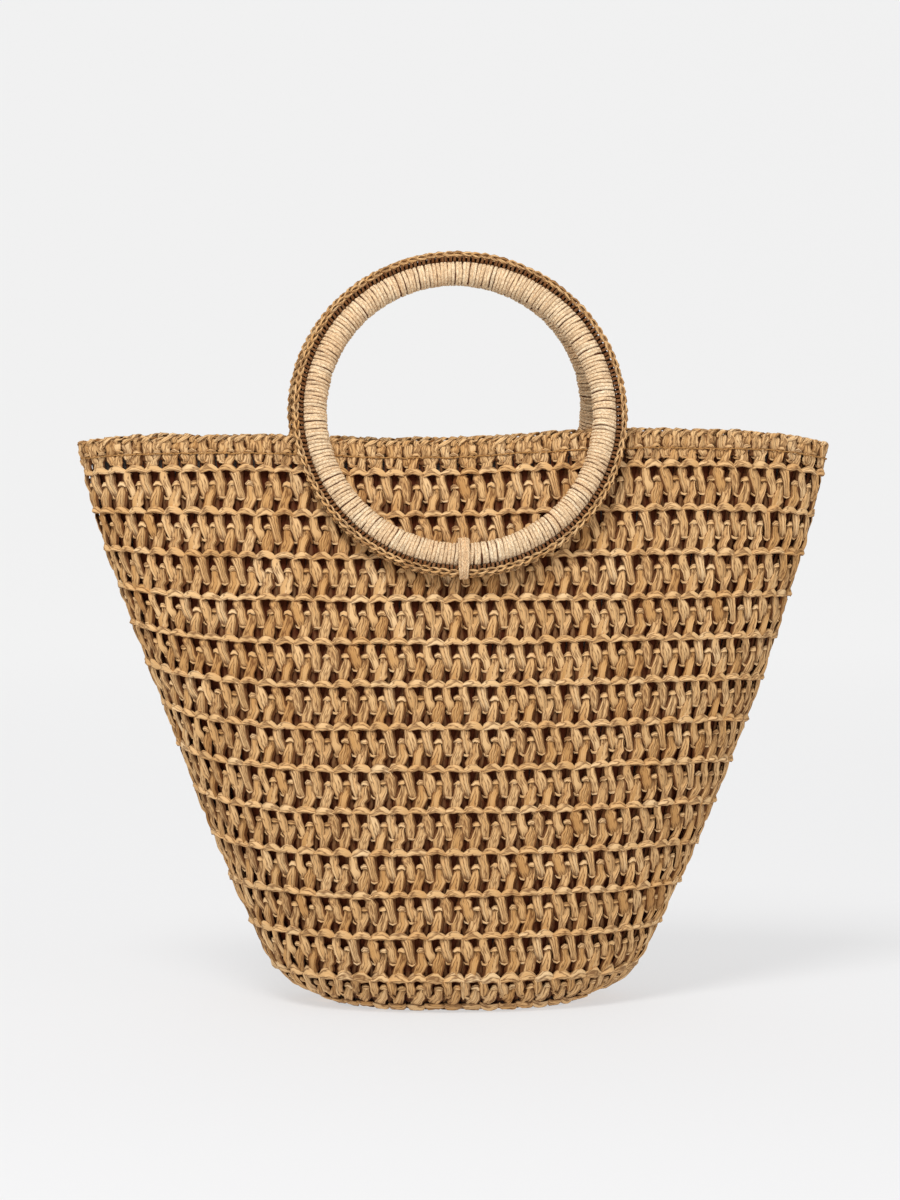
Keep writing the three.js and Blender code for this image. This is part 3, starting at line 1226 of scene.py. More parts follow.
def finished(name: str, mesh: bpy.types.Mesh, floor: float = 0.3 * MM) -> bpy.types.Object:
    """Puts a mesh in the scene as a piece, creased where it folds and kept above the floor.

    Args:
        name: The piece's name.
        mesh: Its mesh.
        floor: The lowest height that a point may have.

    Returns:
        The piece.
    """
    mesh.name = name
    places = np.zeros(len(mesh.vertices) * 3, dtype=np.float32)
    mesh.vertices.foreach_get("co", places)
    places[2::3] = np.maximum(places[2::3], floor)
    mesh.vertices.foreach_set("co", places)
    mesh.set_sharp_from_angle(angle=Handwork.crease_angle)
    mesh.update()
    return put_in_scene(name, mesh)


def settle(piece: bpy.types.Object, slot: str, *nodes: str) -> bpy.types.Object:
    """Rides a finished piece on the bag's body and hides the nodes that it replaces.

    Args:
        piece: The piece.
        slot: The record's material slot. Not used.
        nodes: The nodes that it replaces.

    Returns:
        The piece.
    """
    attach(piece, BODY)
    if nodes:
        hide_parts(*nodes)
    piece.data.calc_loop_triangles()
    log.info("%s: %d triangles", piece.name, len(piece.data.loop_triangles))
    return piece


def draw_ridge(straw: StrawMesh) -> None:
    """The raised scallop at the top of a stitch.

    Args:
        straw: The strands to add to.
    """
    path = (
        (-1.6, -1.9, -1.9), (0.4, -1.6, -1.0), (2.6, -0.4, -0.3), (5.0, 0.4, 0.0),
        (7.4, -0.4, -0.3), (9.6, -1.6, -1.0), (11.4, -2.1, -1.9),
    )
    upward = ((0, 0.5, 1),)
    straw.add(path, (0.9, 2.6, 4.3, 5.0, 4.2, 2.5, 0.9), LOOP, 0.8, upward)


def draw_cap(straw: StrawMesh, level: float) -> None:
    """The small dome over a lower post.

    Args:
        straw: The strands to add to.
        level: Its height from the ridge.
    """
    path = (
        (4.6, level - 1.0, -2.3), (5.5, level - 0.1, -1.3), (6.9, level + 0.2, -0.9),
        (8.2, level - 0.1, -1.3), (9.2, level - 1.0, -2.3),
    )
    straw.add(path, (0.8, 2.2, 3.0, 2.2, 0.8), CAP, 0.85)


def draw_bar(straw: StrawMesh, level: float) -> None:
    """The thin bar across the foot of an upper post.

    Args:
        straw: The strands to add to.
        level: Its height from the ridge.
    """
    path = (
        (0.1, level + 1.0, -2.3), (1.2, level - 0.1, -1.2), (3.5, level - 0.2, -1.1),
        (5.0, level + 1.0, -2.3),
    )
    straw.add(path, (0.9, 1.3, 1.3, 0.9), THIN, 0.8)


@dataclass
class CrochetWall:
    """The wall's rows: scalloped ridges, slanting posts, small caps and bars, and dark holes."""

    form: BagForm
    patches: dict[Side, WallPatch]
    handwork: Handwork
    finish: bpy.types.Material
    seam_finish: bpy.types.Material
    stitch: float = 10 * MM
    stitch_mm: float = 10.0
    foot_mm: float = 16.5
    rim_mm: float = 20.0
    seam_level: float = 8.1 * MM
    row_lift: float = 0.6 * MM
    crease_share: float = 0.6
    seeds_apart: int = 40
    bands: dict[str, range] = field(
        default_factory=lambda: {"lower": range(1, 6), "middle": range(6, 10), "upper": range(10, 13)}
    )

    def draw_row(self, straw: StrawMesh) -> None:
        """One stitch of an open row: the ridge, an upper and a lower post, and the straws behind.

        Args:
            straw: The strands to add to.
        """
        draw_ridge(straw)
        swing = straw.rng.normal(0, 0.5)
        straw.add(
            ((-0.1, -1.6, -1.9), (0.3, -4.5, -1.1), (1.3 + 0.3 * swing, -8.5, -0.9),
             (2.3 + 0.5 * swing, -12.5, -1.2), (3.1 + 0.6 * swing, -16.2, -2.4)),
            (5.6, 5.6, 5.4, 5.1, 4.0), BROAD, 0.6)
        straw.add(((-1.5, -5.0, -2.5), (-1.2, -10.5, -2.0), (-0.7, -16.5, -2.6)), (1.2, 1.5, 1.2), THIN, 0.45)
        draw_bar(straw, -16.0)
        draw_cap(straw, -8.3)
        straw.add(
            ((7.2 + 0.3 * swing, -9.2, -2.4), (7.0, -12.0, -1.6), (6.2, -15.6, -1.2),
             (5.3, -19.2, -1.2), (4.5, -23.2, -1.8)),
            (3.8, 5.0, 5.8, 6.2, 5.8), BROAD, 0.56)
        if straw.rng.random() < self.crease_share:
            crease = ((8.3, -11.0, -1.8), (6.6, -16.5, -0.9), (4.6, -22.2, -1.2))
            straw.add(crease, (1.2, 1.7, 1.5), THIN, 0.7)
        straw.add(((8.3, -1.0, -3.2), (7.4, -5.0, -3.3), (6.7, -9.5, -3.3)), (2.6, 3.0, 2.6), INNER, 0.45)
        straw.add(((9.2, -14.5, -3.2), (9.9, -19.0, -3.3), (9.9, -24.0, -3.3)), (2.6, 3.0, 2.6), INNER, 0.45)
        for start, slant in ((1.4, 0.6), (4.8, -0.5), (8.2, 0.4)):
            path = ((start, -1.0, -4.0), (start + slant, -12.0, -4.0), (start, -24.0, -4.0))
            straw.add(path, (3.5, 3.9, 3.5), INNER, 0.3)

    def draw_foot(self, straw: StrawMesh) -> None:
        """One stitch of the short lowest row, which ends in the ribbon along the base's edge.

        Args:
            straw: The strands to add to.
        """
        draw_ridge(straw)
        straw.add(
            ((0.1, -1.1, -1.5), (0.6, -4.2, -1.0), (1.4, -7.4, -1.2), (1.9, -10.2, -2.3)),
            (5.6, 5.5, 5.2, 4.0), BROAD, 0.6)
        draw_bar(straw, -9.8)
        draw_cap(straw, -5.2)
        straw.add(
            ((7.6, -5.8, -2.4), (6.8, -8.4, -1.3), (5.3, -11.0, -1.2), (3.4, -13.8, -2.1)),
            (3.8, 5.4, 6.0, 5.2), BROAD, 0.56)
        straw.add(
            ((0.2, -14.7, -2.0), (1.8, -14.7, -0.9), (5.0, -14.8, -0.7), (8.3, -15.0, -0.9),
             (9.9, -15.1, -2.0)),
            (2.2, 3.1, 3.2, 3.0, 2.2), LOOP, 0.62)
        straw.add(((8.1, -1.0, -3.3), (7.0, -6.0, -3.4)), (2.4, 2.8), INNER, 0.4)
        straw.add(((0.6, -9.0, -3.2), (0.4, -14.5, -3.3)), (2.8, 3.2), INNER, 0.4)
        for start in (1.4, 4.8, 8.2):
            straw.add(((start, -1.0, -4.0), (start, -15.0, -4.0)), (3.7, 3.7), INNER, 0.35)

    def draw_rim(self, straw: StrawMesh) -> None:
        """One stitch of the mouth's band, drawn 20 millimetres tall and then scaled to the band.

        Args:
            straw: The strands to add to.
        """
        lean = straw.rng.normal(0, 0.4)
        straw.add(
            ((4.8, 0.2, -1.7), (5.5, 3.4, -1.2), (6.4 + lean / 2, 6.6, -1.2), (7.1 + lean, 10.2, -2.0)),
            (6.0, 5.6, 5.0, 4.2), BROAD, 0.72)
        straw.add(
            ((2.2, 10.4, -1.9), (2.2, 8.2, -1.1), (2.4, 5.8, -1.3), (2.6, 4.2, -2.4)),
            (5.8, 5.8, 5.0, 3.4), BROAD, 0.72)
        draw_bar(straw, 4.0)
        draw_cap(straw, 11.4)
        straw.add(
            ((2.3, 9.6, -1.9), (2.2 + lean / 2, 12.6, -1.1), (2.2 + lean, 16.0, -1.1),
             (2.4 + lean, 18.8, -1.9)),
            (5.0, 5.6, 5.6, 5.0), BROAD, 0.74)
        straw.add(
            ((7.2, 11.8, -2.4), (7.2 - lean / 2, 14.2, -1.4), (7.3 - lean, 16.6, -1.3),
             (7.5 - lean, 18.8, -2.0)),
            (4.8, 5.4, 5.4, 5.0), BROAD, 0.7)
        over = ((0, 0, 1), (0, 0.7, 0.7), (0, 1, 0), (0, 0.6, -0.8), (0, 0, -1))
        straw.add(
            ((-0.8, 17.4, -0.8), (1.2, 19.4, -0.6), (3.8, 20.6, -2.0), (6.2, 20.0, -3.8), (7.6, 17.6, -4.6)),
            (1.8, 3.4, 3.8, 3.2, 1.8), LEAF, 0.7, over)
        straw.add(
            ((6.6, 17.0, -0.9), (6.3, 19.5, -0.8), (8.2, 20.4, -2.4), (10.4, 19.8, -4.0), (11.6, 17.4, -4.6)),
            (2.0, 3.4, 3.6, 3.2, 1.8), LEAF, 0.65, over)
        inward = ((0, 0, -1),)
        for middle in (2.5, 7.4):
            straw.add(
                ((middle - 0.3, 9.4, -4.1), (middle, 14.0, -4.7), (middle + 0.4, 19.0, -4.2)),
                (4.4, 4.8, 4.2), LEAF, 0.5, inward)
        straw.add(((0.6, 7.0, -3.4), (0.8, -1.0, -3.5)), (2.4, 2.6), INNER, 0.4)
        straw.add(((3.4, 7.0, -3.9), (3.4, -1.0, -3.9)), (1.8, 2.0), INNER, 0.35)

    @staticmethod
    def draw_seam(straw: StrawMesh) -> None:
        """Three running stitches of the thread that holds the lining.

        Args:
            straw: The strands to add to.
        """
        for start in (0.0, 10 / 3, 20 / 3):
            steps = ((0.1, 0.0, -0.9), (0.8, 0.0, 0.05), (2.6, 0.1, 0.05), (3.2, 0.0, -0.9))
            path = [(start + along, up, out) for along, up, out in steps]
            straw.add(path, (0.7, 0.8, 0.8, 0.7), LEG, 0.5)

    def cells(self, patch: WallPatch, ridge: float, drop: float, height: float) -> Cells:
        """The cells of one row on one face.

        Args:
            patch: The face.
            ridge: The height at which the motif's origin lies.
            drop: How far below it the stitches' widths are measured.
            height: What one unit of the motif's height becomes.

        Returns:
            The cells.
        """
        starts, leans = patch.marks(ridge - drop, self.stitch)
        lean = (leans[:-1] + leans[1:]) / 2
        widths = np.diff(starts)
        count = len(widths)
        return Cells(
            np.stack([starts[:-1] + lean * drop, np.full(count, ridge)], axis=-1),
            np.stack([widths, np.full(count, height)], axis=-1),
            lean,
        )

    def build(self) -> None:
        """Makes the rows, some to a piece, the foot row, the rim and the seam on each face."""
        pitch, low, top = self.form.row_pitch, self.form.ridge(0), self.form.ridge(self.form.rows - 1)
        band = self.form.rim_band
        row_motifs, foot_motifs, rim_motifs, seam_motifs = (
            MotifSet(name, draw, (self.stitch_mm, height), seed=seed).collection()
            for name, draw, height, seed in (
                ("row_stitch", self.draw_row, pitch / MM, 3),
                ("foot_stitch", self.draw_foot, self.foot_mm, 4),
                ("rim_stitch", self.draw_rim, self.rim_mm, 5),
                ("seam_stitch", self.draw_seam, self.stitch_mm, 6),
            )
        )
        for number, (side, patch) in enumerate(self.patches.items()):
            face, turned = side.name.lower(), number * self.seeds_apart

            def work(
                label: str, cells: Cells, motifs: bpy.types.Collection, node: str, hand: Hand,
                finish: bpy.types.Material = self.finish,
            ) -> None:
                """Makes one piece of this face."""
                settle(self.handwork.make(label, cells, motifs, patch.guide, finish, hand), "straw", node)

            for label, rows in self.bands.items():
                ridges = [self.form.ridge(row) + self.row_lift for row in rows]
                cells = Cells.joined([self.cells(patch, ridge, pitch / 2, pitch) for ridge in ridges])
                hand = Hand(seed=rows.start + turned)
                work(f"crochet_{face}_{label}", cells, row_motifs, "body_wall", hand)
            cells = self.cells(patch, low, low / 2, low)
            work(f"crochet_{face}_foot", cells, foot_motifs, "body_wall", Hand(seed=90 + number))
            cells = self.cells(patch, top, -band / 2, band)
            work(f"rim_{face}", cells, rim_motifs, "rim_band", Hand(seed=95 + number, turn=0.03))
            cells = self.cells(patch, top + self.seam_level, 0.0, self.stitch)
            hand = Hand(seed=99 + number, turn=0.0)
            work(f"seam_{face}", cells, seam_motifs, "rim_band", hand, self.seam_finish)


@dataclass
class CrochetBase:
    """The oval bottom, crocheted in rounds from the outside in, over a thin plate of packed straw."""

    form: BagForm
    handwork: Handwork
    finish: bpy.types.Material
    stitch: float = 9 * MM
    round_height: float = 6.4 * MM
    rounds: int = 8
    edge: float = 2 * MM
    plate_low: float = 2.8 * MM
    plate_high: float = 4.0 * MM
    columns: int = 240
    overlap: float = 0.3

    @staticmethod
    def draw(straw: StrawMesh) -> None:
        """One stitch, 9 millimetres wide and 6.4 tall, hanging from the round's outer edge.

        Args:
            straw: The strands to add to.
        """
        straw.add(
            ((-1.0, -1.4, -1.9), (2.0, -0.9, -1.0), (5.0, -1.0, -0.9), (8.0, -1.4, -1.2), (9.8, -1.8, -2.0)),
            (1.8, 3.0, 3.2, 2.8, 1.6), CAP, 0.55)
        straw.add(((2.0, -2.0, -1.6), (2.6, -4.2, -1.1), (3.4, -6.8, -1.9)), (3.8, 4.0, 3.2), CAP, 0.5)
        straw.add(((6.4, -2.0, -1.7), (6.9, -4.2, -1.3), (7.8, -6.8, -2.0)), (3.8, 4.0, 3.2), CAP, 0.45)

    def _loop(self, turns: np.ndarray, inset: float, height: float) -> np.ndarray:
        """The base's outline drawn in.

        Args:
            turns: Turns in radians.
            inset: How far it is drawn in.
            height: Its height.

        Returns:
            The points.
        """
        outline = self.form.outer(np.zeros_like(turns), turns)
        half = np.array([self.form.base_width, self.form.base_depth]) / 2
        share = np.maximum(half - inset, 0.2 * MM) / half
        return np.concatenate([outline[..., :2] * share, np.full_like(turns, height)[..., None]], axis=-1)

    def build(self) -> None:
        """Makes the crocheted rounds and the plate."""
        turns = np.linspace(-self.overlap, 2 * math.pi + self.overlap, self.columns)
        insets = (self.edge + np.arange(self.rounds * 4 + 4) * self.round_height / 4)[::-1]
        points = np.array([self._loop(turns, inset, 0.5 * MM) for inset in insets])
        flat = np.stack(np.broadcast_arrays(turns[None, :], -insets[:, None]), axis=-1)
        facing = np.broadcast_to(np.array([0.0, 0.0, -1.0]), points.shape)
        guide = guide_object("guide_base", points, facing, flat)
        cells = []
        for number in range(self.rounds):
            inset = self.edge + number * self.round_height
            line = self._loop(turns, inset, 0.0)
            length = np.linalg.norm(np.diff(line, axis=0), axis=1).sum()
            count = max(round(length / self.stitch), 6)
            cells.append(Cells.evenly(0.0, 2 * math.pi, count, -inset, self.round_height))
        motifs = MotifSet("base_stitch", self.draw, (9.0, 6.4), versions=8, seed=8).collection()
        quiet = Hand(seed=61, turn=0.0, drift=0.0, unevenness=0.0)
        piece = self.handwork.make("base_rounds", Cells.joined(cells), motifs, guide, self.finish, quiet)
        bpy.data.objects.remove(guide)
        settle(piece, "straw", "base")
        self._plate()

    def _plate(self) -> None:
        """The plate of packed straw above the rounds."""
        turns = np.linspace(0, 2 * math.pi, 96, endpoint=False)
        inset = 2 * self.edge
        rings = [self._loop(turns, inset, self.plate_low), self._loop(turns, inset, self.plate_high)]
        mesh = new_mesh("base_plate", np.array(rings), tube_faces(2, len(turns)))
        # The plate carries no 'open' attribute, so it shows the straw's painted hollow shade all over.
        mesh.materials.append(self.finish)
        settle(finished("base_plate", mesh), "straw", "base")


@dataclass
class LiningCloth:
    """The sewn cloth cup inside the wall: loose folds and a turned hem under the rim."""

    form: BagForm
    finish: bpy.types.Material
    inset: float = 4.95 * MM
    thickness: float = 0.7 * MM
    floor_height: float = 4.5 * MM
    top: float = 298.5 * MM
    hem: float = 11 * MM
    hem_thickness: float = 1.3 * MM
    fold_depth: float = 2.4 * MM
    columns: int = 150
    rows: int = 42
    fine: int = 1200
    waves: tuple[int, ...] = (5, 9, 14, 23)

    def _level(self, height: float) -> tuple[np.ndarray, np.ndarray]:
        """Evenly spaced points round a level of the bag's outside.

        Args:
            height: The level's height.

        Returns:
            The points and their distance along the level.
        """
        turns = np.linspace(0, 2 * math.pi, self.fine)
        line = self.form.outer(np.full_like(turns, height), turns)
        arc = arc_lengths(line)
        places = np.linspace(0, arc[-1], self.columns, endpoint=False)
        return np.stack([np.interp(places, arc, line[:, axis]) for axis in range(3)], axis=-1), places

    def _inward(self, points: np.ndarray) -> np.ndarray:
        """Directions into the bag from its outside.

        Args:
            points: Levels of points that close on themselves.

        Returns:
            The direction at each, of length 1.
        """
        along = np.roll(points, -1, axis=1) - np.roll(points, 1, axis=1)
        up = np.gradient(points, axis=0)
        inward = np.cross(up, along)
        return inward / np.linalg.norm(inward, axis=-1, keepdims=True)

    def _folds(self, places: np.ndarray, heights: np.ndarray) -> np.ndarray:
        """How far the cloth hangs in from the wall.

        Args:
            places: Distance along the level of each point.
            heights: Height of each level.

        Returns:
            The depth at each point.
        """
        rng = np.random.default_rng(17)
        share = places / places.max(axis=1, keepdims=True)
        climb = heights[:, None] / self.form.rim_height
        total = np.zeros_like(share)
        for waves in self.waves:
            phase, tilt, gain = rng.uniform(0, 2 * math.pi), rng.uniform(-5, 5), rng.uniform(0.5, 1.0)
            total += gain * np.sin(2 * math.pi * waves * share + tilt * climb + phase) / math.sqrt(waves)
        total = (total - total.min()) / (total.max() - total.min())
        return self.fold_depth * total * np.sin(math.pi * np.clip(climb, 0, 1)) ** 0.6

    def build(self) -> None:
        """Makes the cup: outside skin up, over the hem, and inside skin down, with a flat bottom."""
        heights = np.linspace(self.floor_height, self.top, self.rows)
        levels = [self._level(height) for height in heights]
        outside = np.array([level[0] for level in levels])
        places = np.array([level[1] for level in levels])
        inward = self._inward(outside)
        depth = self.inset + self._folds(places, heights)
        hem = np.where(heights > self.top - self.hem, self.hem_thickness, self.thickness)[:, None]
        outer = outside + inward * depth[..., None]
        inner = outside + inward * (depth + hem)[..., None]
        outer[..., 2] = np.maximum(outer[..., 2], self.floor_height)
        inner[..., 2] = np.maximum(inner[..., 2], self.floor_height + self.thickness)
        grid = np.concatenate([outer, inner[::-1]])
        mesh = new_mesh("lining_cloth", grid, tube_faces(len(grid), self.columns))
        around = np.concatenate([places, places[::-1]])
        store_flat(mesh, np.stack([around, grid[..., 2]], axis=-1))
        mesh.shade_smooth()
        mesh.materials.append(self.finish)
        settle(finished("lining_cloth", mesh), "lining", "lining")


@dataclass
class RingTube:
    """A ring's tube with an oval section, and the flat pattern round it."""

    centre: np.ndarray
    axes: tuple[np.ndarray, np.ndarray, np.ndarray]
    radius: float
    half_width: float
    half_thickness: float

    @property
    def length(self) -> float:
        """Length round the ring, along the tube's middle."""
        return 2 * math.pi * self.radius

    def surface(self, turns: np.ndarray, rolls: np.ndarray) -> tuple[np.ndarray, np.ndarray]:
        """Points and outward directions.

        Args:
            turns: Places round the ring in radians, from the right, over the top.
            rolls: Places round the tube in radians, from the outermost line, over the face.

        Returns:
            The points and the directions, in a last axis of three.
        """
        right, up, face = self.axes
        radial = np.cos(turns)[..., None] * right + np.sin(turns)[..., None] * up
        wide, thick = np.cos(rolls)[..., None], np.sin(rolls)[..., None]
        reach = self.radius + self.half_width * wide
        points = self.centre + radial * reach + face * self.half_thickness * thick
        facing = radial * wide / self.half_width + face * thick / self.half_thickness
        return points, facing / np.linalg.norm(facing, axis=-1, keepdims=True)

    def girth(self, rolls: np.ndarray) -> np.ndarray:
        """Distance round the tube from the outermost line.

        Args:
            rolls: Places round the tube in radians.

        Returns:
            The distances.
        """
        step = np.hypot(
            np.diff(self.half_width * np.cos(rolls)), np.diff(self.half_thickness * np.sin(rolls))
        )
        arc = np.concatenate([[0], np.cumsum(step)])
        return arc - np.interp(0, rolls, arc)

    def guide(self, name: str, first_roll: float, columns: int = 280, rows: int = 56) -> bpy.types.Object:
        """The guide that the handwork is wrapped on, a little past where it closes.

        Args:
            name: The guide's name.
            first_roll: The roll at which the pattern's lowest edge lies.
            columns: Points round the ring.
            rows: Points round the tube.

        Returns:
            The guide.
        """
        turns = np.linspace(-0.3, 2 * math.pi + 0.3, columns)
        rolls = np.linspace(first_roll - 0.6, first_roll + 2 * math.pi + 0.6, rows)
        grid_turns, grid_rolls = np.meshgrid(turns, rolls)
        points, facing = self.surface(grid_turns, grid_rolls)
        around, across = turns[None, :] * self.radius, self.girth(rolls)[:, None]
        flat = np.stack(np.broadcast_arrays(around, across), axis=-1)
        return guide_object(name, points, facing, flat)

    def core(self, name: str, shrink: float, turns: int = 120, rolls: int = 14) -> bpy.types.Mesh:
        """A plain closed tube inside this one.

        Args:
            name: The mesh's name.
            shrink: How far its surface lies inside.
            turns: Points round the ring.
            rolls: Points round the tube.

        Returns:
            The mesh.
        """
        inside = RingTube(
            self.centre, self.axes, self.radius, self.half_width - shrink, self.half_thickness - shrink
        )
        grid_turns, grid_rolls = np.meshgrid(
            np.linspace(0, 2 * math.pi, turns, endpoint=False),
            np.linspace(0, 2 * math.pi, rolls, endpoint=False),
            indexing="ij",
        )
        points, _ = inside.surface(grid_turns, grid_rolls)
        faces = [
            (turn * rolls + roll, (turn + 1) % turns * rolls + roll,
             (turn + 1) % turns * rolls + (roll + 1) % rolls, turn * rolls + (roll + 1) % rolls)
            for turn in range(turns) for roll in range(rolls)
        ]
        mesh = new_mesh(name, points, faces)
        mesh.shade_smooth()
        return mesh


@dataclass
class RingHandle:
    """One ring handle: straw wound round a stiff core, a crocheted edging, and the strap to the wall."""

    side: Side
    handwork: Handwork
    wound: bpy.types.Material
    edged: bpy.types.Material
    core: bpy.types.Material
    motifs: dict[str, bpy.types.Collection]
    centre_y: float = 34.84 * MM
    centre_z: float = 321.52 * MM
    lean: float = math.radians(16.023)
    inner_radius: float = 71.25 * MM
    ring_width: float = 13.75 * MM
    ring_thickness: float = 13.0 * MM
    edging_width: float = 5.2 * MM
    edging_thickness: float = 8.5 * MM
    gap: float = 0.3 * MM
    wraps_in_cell: int = 4
    wraps: int = 244
    links: int = 110
    winding_core: float = 1.0 * MM
    edging_core: float = 1.9 * MM
    edging_core_reach: float = 1.7 * MM
    strap_straws: int = 5
    strap_width: float = 6.0 * MM

    @property
    def sign(self) -> float:
        """1 for the front handle and -1 for the back one."""
        return 1.0 if self.side is Side.FRONT else -1.0

    @property
    def axes(self) -> tuple[np.ndarray, np.ndarray, np.ndarray]:
        """The ring's right, up and face directions."""
        sign = self.sign
        sine, cosine = math.sin(self.lean), math.cos(self.lean)
        return (
            np.array([sign, 0.0, 0.0]),
            np.array([0.0, sign * sine, cosine]),
            np.array([0.0, -sign * cosine, sine]),
        )

    @property
    def centre(self) -> np.ndarray:
        """The ring's centre."""
        return np.array([0.0, -self.sign * self.centre_y, self.centre_z])

    @classmethod
    def draw_motifs(cls) -> dict[str, bpy.types.Collection]:
        """The windings and the edging's links.

        Returns:
            The collections by name.
        """
        return {
            "wraps": MotifSet("wrap_group", cls.draw_wraps, (8.0, 1000.0), seed=21).collection(),
            "link": MotifSet("edging_link", cls.draw_link, (5.02, 1000.0), seed=22).collection(),
        }

    @classmethod
    def draw_wraps(cls, straw: StrawMesh) -> None:
        """Turns of straw round the tube, each moving on by its own width.

        Args:
            straw: The strands to add to.
        """
        girth, steps = 42.04, 8
        for wrap in range(cls.wraps_in_cell):
            shift = np.cumsum(straw.rng.normal(0, 0.14, steps))
            shift -= np.linspace(0, shift[-1], steps)
            depth = straw.rng.uniform(-1.05, -0.8)
            path = [
                (2 * wrap + 2 * step / 7 + shift[step], girth * step / 7, depth) for step in range(steps)
            ]
            straw.add(path, straw.rng.uniform(1.95, 2.35, 6), WRAP, 0.64)

    @staticmethod
    def draw_link(straw: StrawMesh) -> None:
        """One link of the edging: a chain on each face, a strand across and short legs to the winding.

        Args:
            straw: The strands to add to.
        """
        for side in (1, -1):
            middle = 4.9 * side
            for spread, tone in ((1.35, 0.65), (-1.35, 0.55)):
                straw.add(
                    ((-1.0, middle + side * spread * 1.05, -1.6), (1.6, middle + side * spread * 1.1, -0.3),
                     (4.0, middle + side * spread * 0.55, -0.3), (5.9, middle, -1.6)),
                    (0.9, 1.7, 1.7, 0.9), LINK, tone)
            for place in (1.0, 3.5):
                steps = ((0.0, 5.8, -1.1), (0.2, 7.5, 0.6), (0.4, 9.2, 1.3), (0.5, 10.6, 0.6))
                path = [(place + along, down * side, out) for along, down, out in steps]
                straw.add(path, (1.4, 1.9, 1.9, 1.5), LEG, 0.8)
        straw.add(((-0.4, -3.0, -1.5), (1.5, 0.0, -0.6), (3.4, 3.0, -1.5)), (1.8, 2.6, 1.8), LINK, 0.5)

    def build(self) -> None:
        """Makes the winding, the edging, their cores and the strap."""
        name = self.side.name.lower()
        ring = RingTube(
            self.centre, self.axes, self.inner_radius + self.ring_width / 2,
            self.ring_width / 2, self.ring_thickness / 2)
        outer = self.inner_radius + self.ring_width + self.gap
        edging = RingTube(
            self.centre, self.axes, outer + self.edging_width / 2,
            self.edging_width / 2, self.edging_thickness / 2)
        self._worked(
            "winding", ring, 0.0, self.wraps // self.wraps_in_cell, self.motifs["wraps"], self.wound,
            f"handle_ring_{name}", self.winding_core)
        self._worked(
            "edging", edging, -math.pi, self.links, self.motifs["link"], self.edged,
            f"handle_edging_{name}", self.edging_core, self.edging_core_reach)
        self._strap(name)

    def _worked(
        self,
        label: str,
        tube: RingTube,
        first_roll: float,
        count: int,
        motifs: bpy.types.Collection,
        finish: bpy.types.Material,
        node: str,
        shrink: float,
        reach: float = 0.0,
    ) -> None:
        """Handwork round a tube, and the core under it.

        Args:
            label: The pieces' name, without the side.
            tube: The tube.
            first_roll: The roll at which the pattern starts.
            count: How many cells go round the ring.
            motifs: The motif's versions.
            finish: The straw's material.
            node: The node that both pieces replace.
            shrink: How far the core lies inside the tube.
            reach: How far the core is moved towards the ring's centre.
        """
        name = self.side.name.lower()
        guide = tube.guide(f"guide_{label}", first_roll)
        cells = Cells.evenly(0.0, tube.length, count, 0.0, 1.0)
        hand = Hand(
            seed=70 + count, turn=0.0, drift=0.5 * MM, drift_length=20 * MM, unevenness=0.8 * MM,
            grain_length=4 * MM)
        piece = self.handwork.make(f"{label}_{name}", cells, motifs, guide, finish, hand)
        bpy.data.objects.remove(guide)
        settle(piece, "straw_winding", node)
        core = replace(tube, radius=tube.radius - reach).core(f"{label}_core_{name}", shrink)
        # Neither core carries the 'open' attribute, so each shows its finish's painted hollow shade all over:
        # the dark seen between the wraps and between the links.
        core.materials.append(self.wound if label == "winding" else self.core)
        settle(finished(f"{label}_core_{name}", core), "straw_winding", node)

    def _strap(self, name: str) -> None:
        """The straws that bind the lowest point of the ring and its edging to the wall.

        Args:
            name: The side's name.
        """
        profile = (
            (70.0, -6.2), (69.9, -1.0), (70.3, 4.5), (74.0, 7.3), (79.0, 7.7), (84.5, 6.3),
            (88.2, 5.0), (90.2, 2.9), (90.6, -0.5), (88.6, -4.6), (84.0, -6.2),
        )
        outward = (
            (-1, 0), (-1, 0), (-0.8, 0.6), (-0.2, 1), (0, 1), (0.2, 1), (0.3, 1), (0.8, 0.6), (1, 0),
            (0.7, -0.7), (0, -1),
        )
        straw = StrawMesh(np.random.default_rng(31))
        cut = Cut(thickness=1.4, sides=6, stations=22, fold=0.15, wander=0.12, look=DepthShade.OPEN)
        pitch = self.strap_width / self.strap_straws / MM
        for number in range(self.strap_straws):
            across = (number - (self.strap_straws - 1) / 2) * pitch
            narrow = 1 - 0.5 * np.linspace(0, 1, len(profile)) ** 2
            path = [(across * narrow[row], -radius, depth) for row, (radius, depth) in enumerate(profile)]
            facing = [(0.0, -radial, front) for radial, front in outward]
            straw.add(path, (1.5, 1.6, 1.5, 1.1), cut, 0.15, facing)
        mesh = straw.mesh(f"strap_{name}")
        place = np.column_stack([*self.axes, self.centre])
        mesh.transform(Matrix([*place.tolist(), [0, 0, 0, 1]]))
        mesh.materials.append(self.wound)
        settle(finished(f"strap_{name}", mesh), "straw_winding", f"handle_binding_{name}")


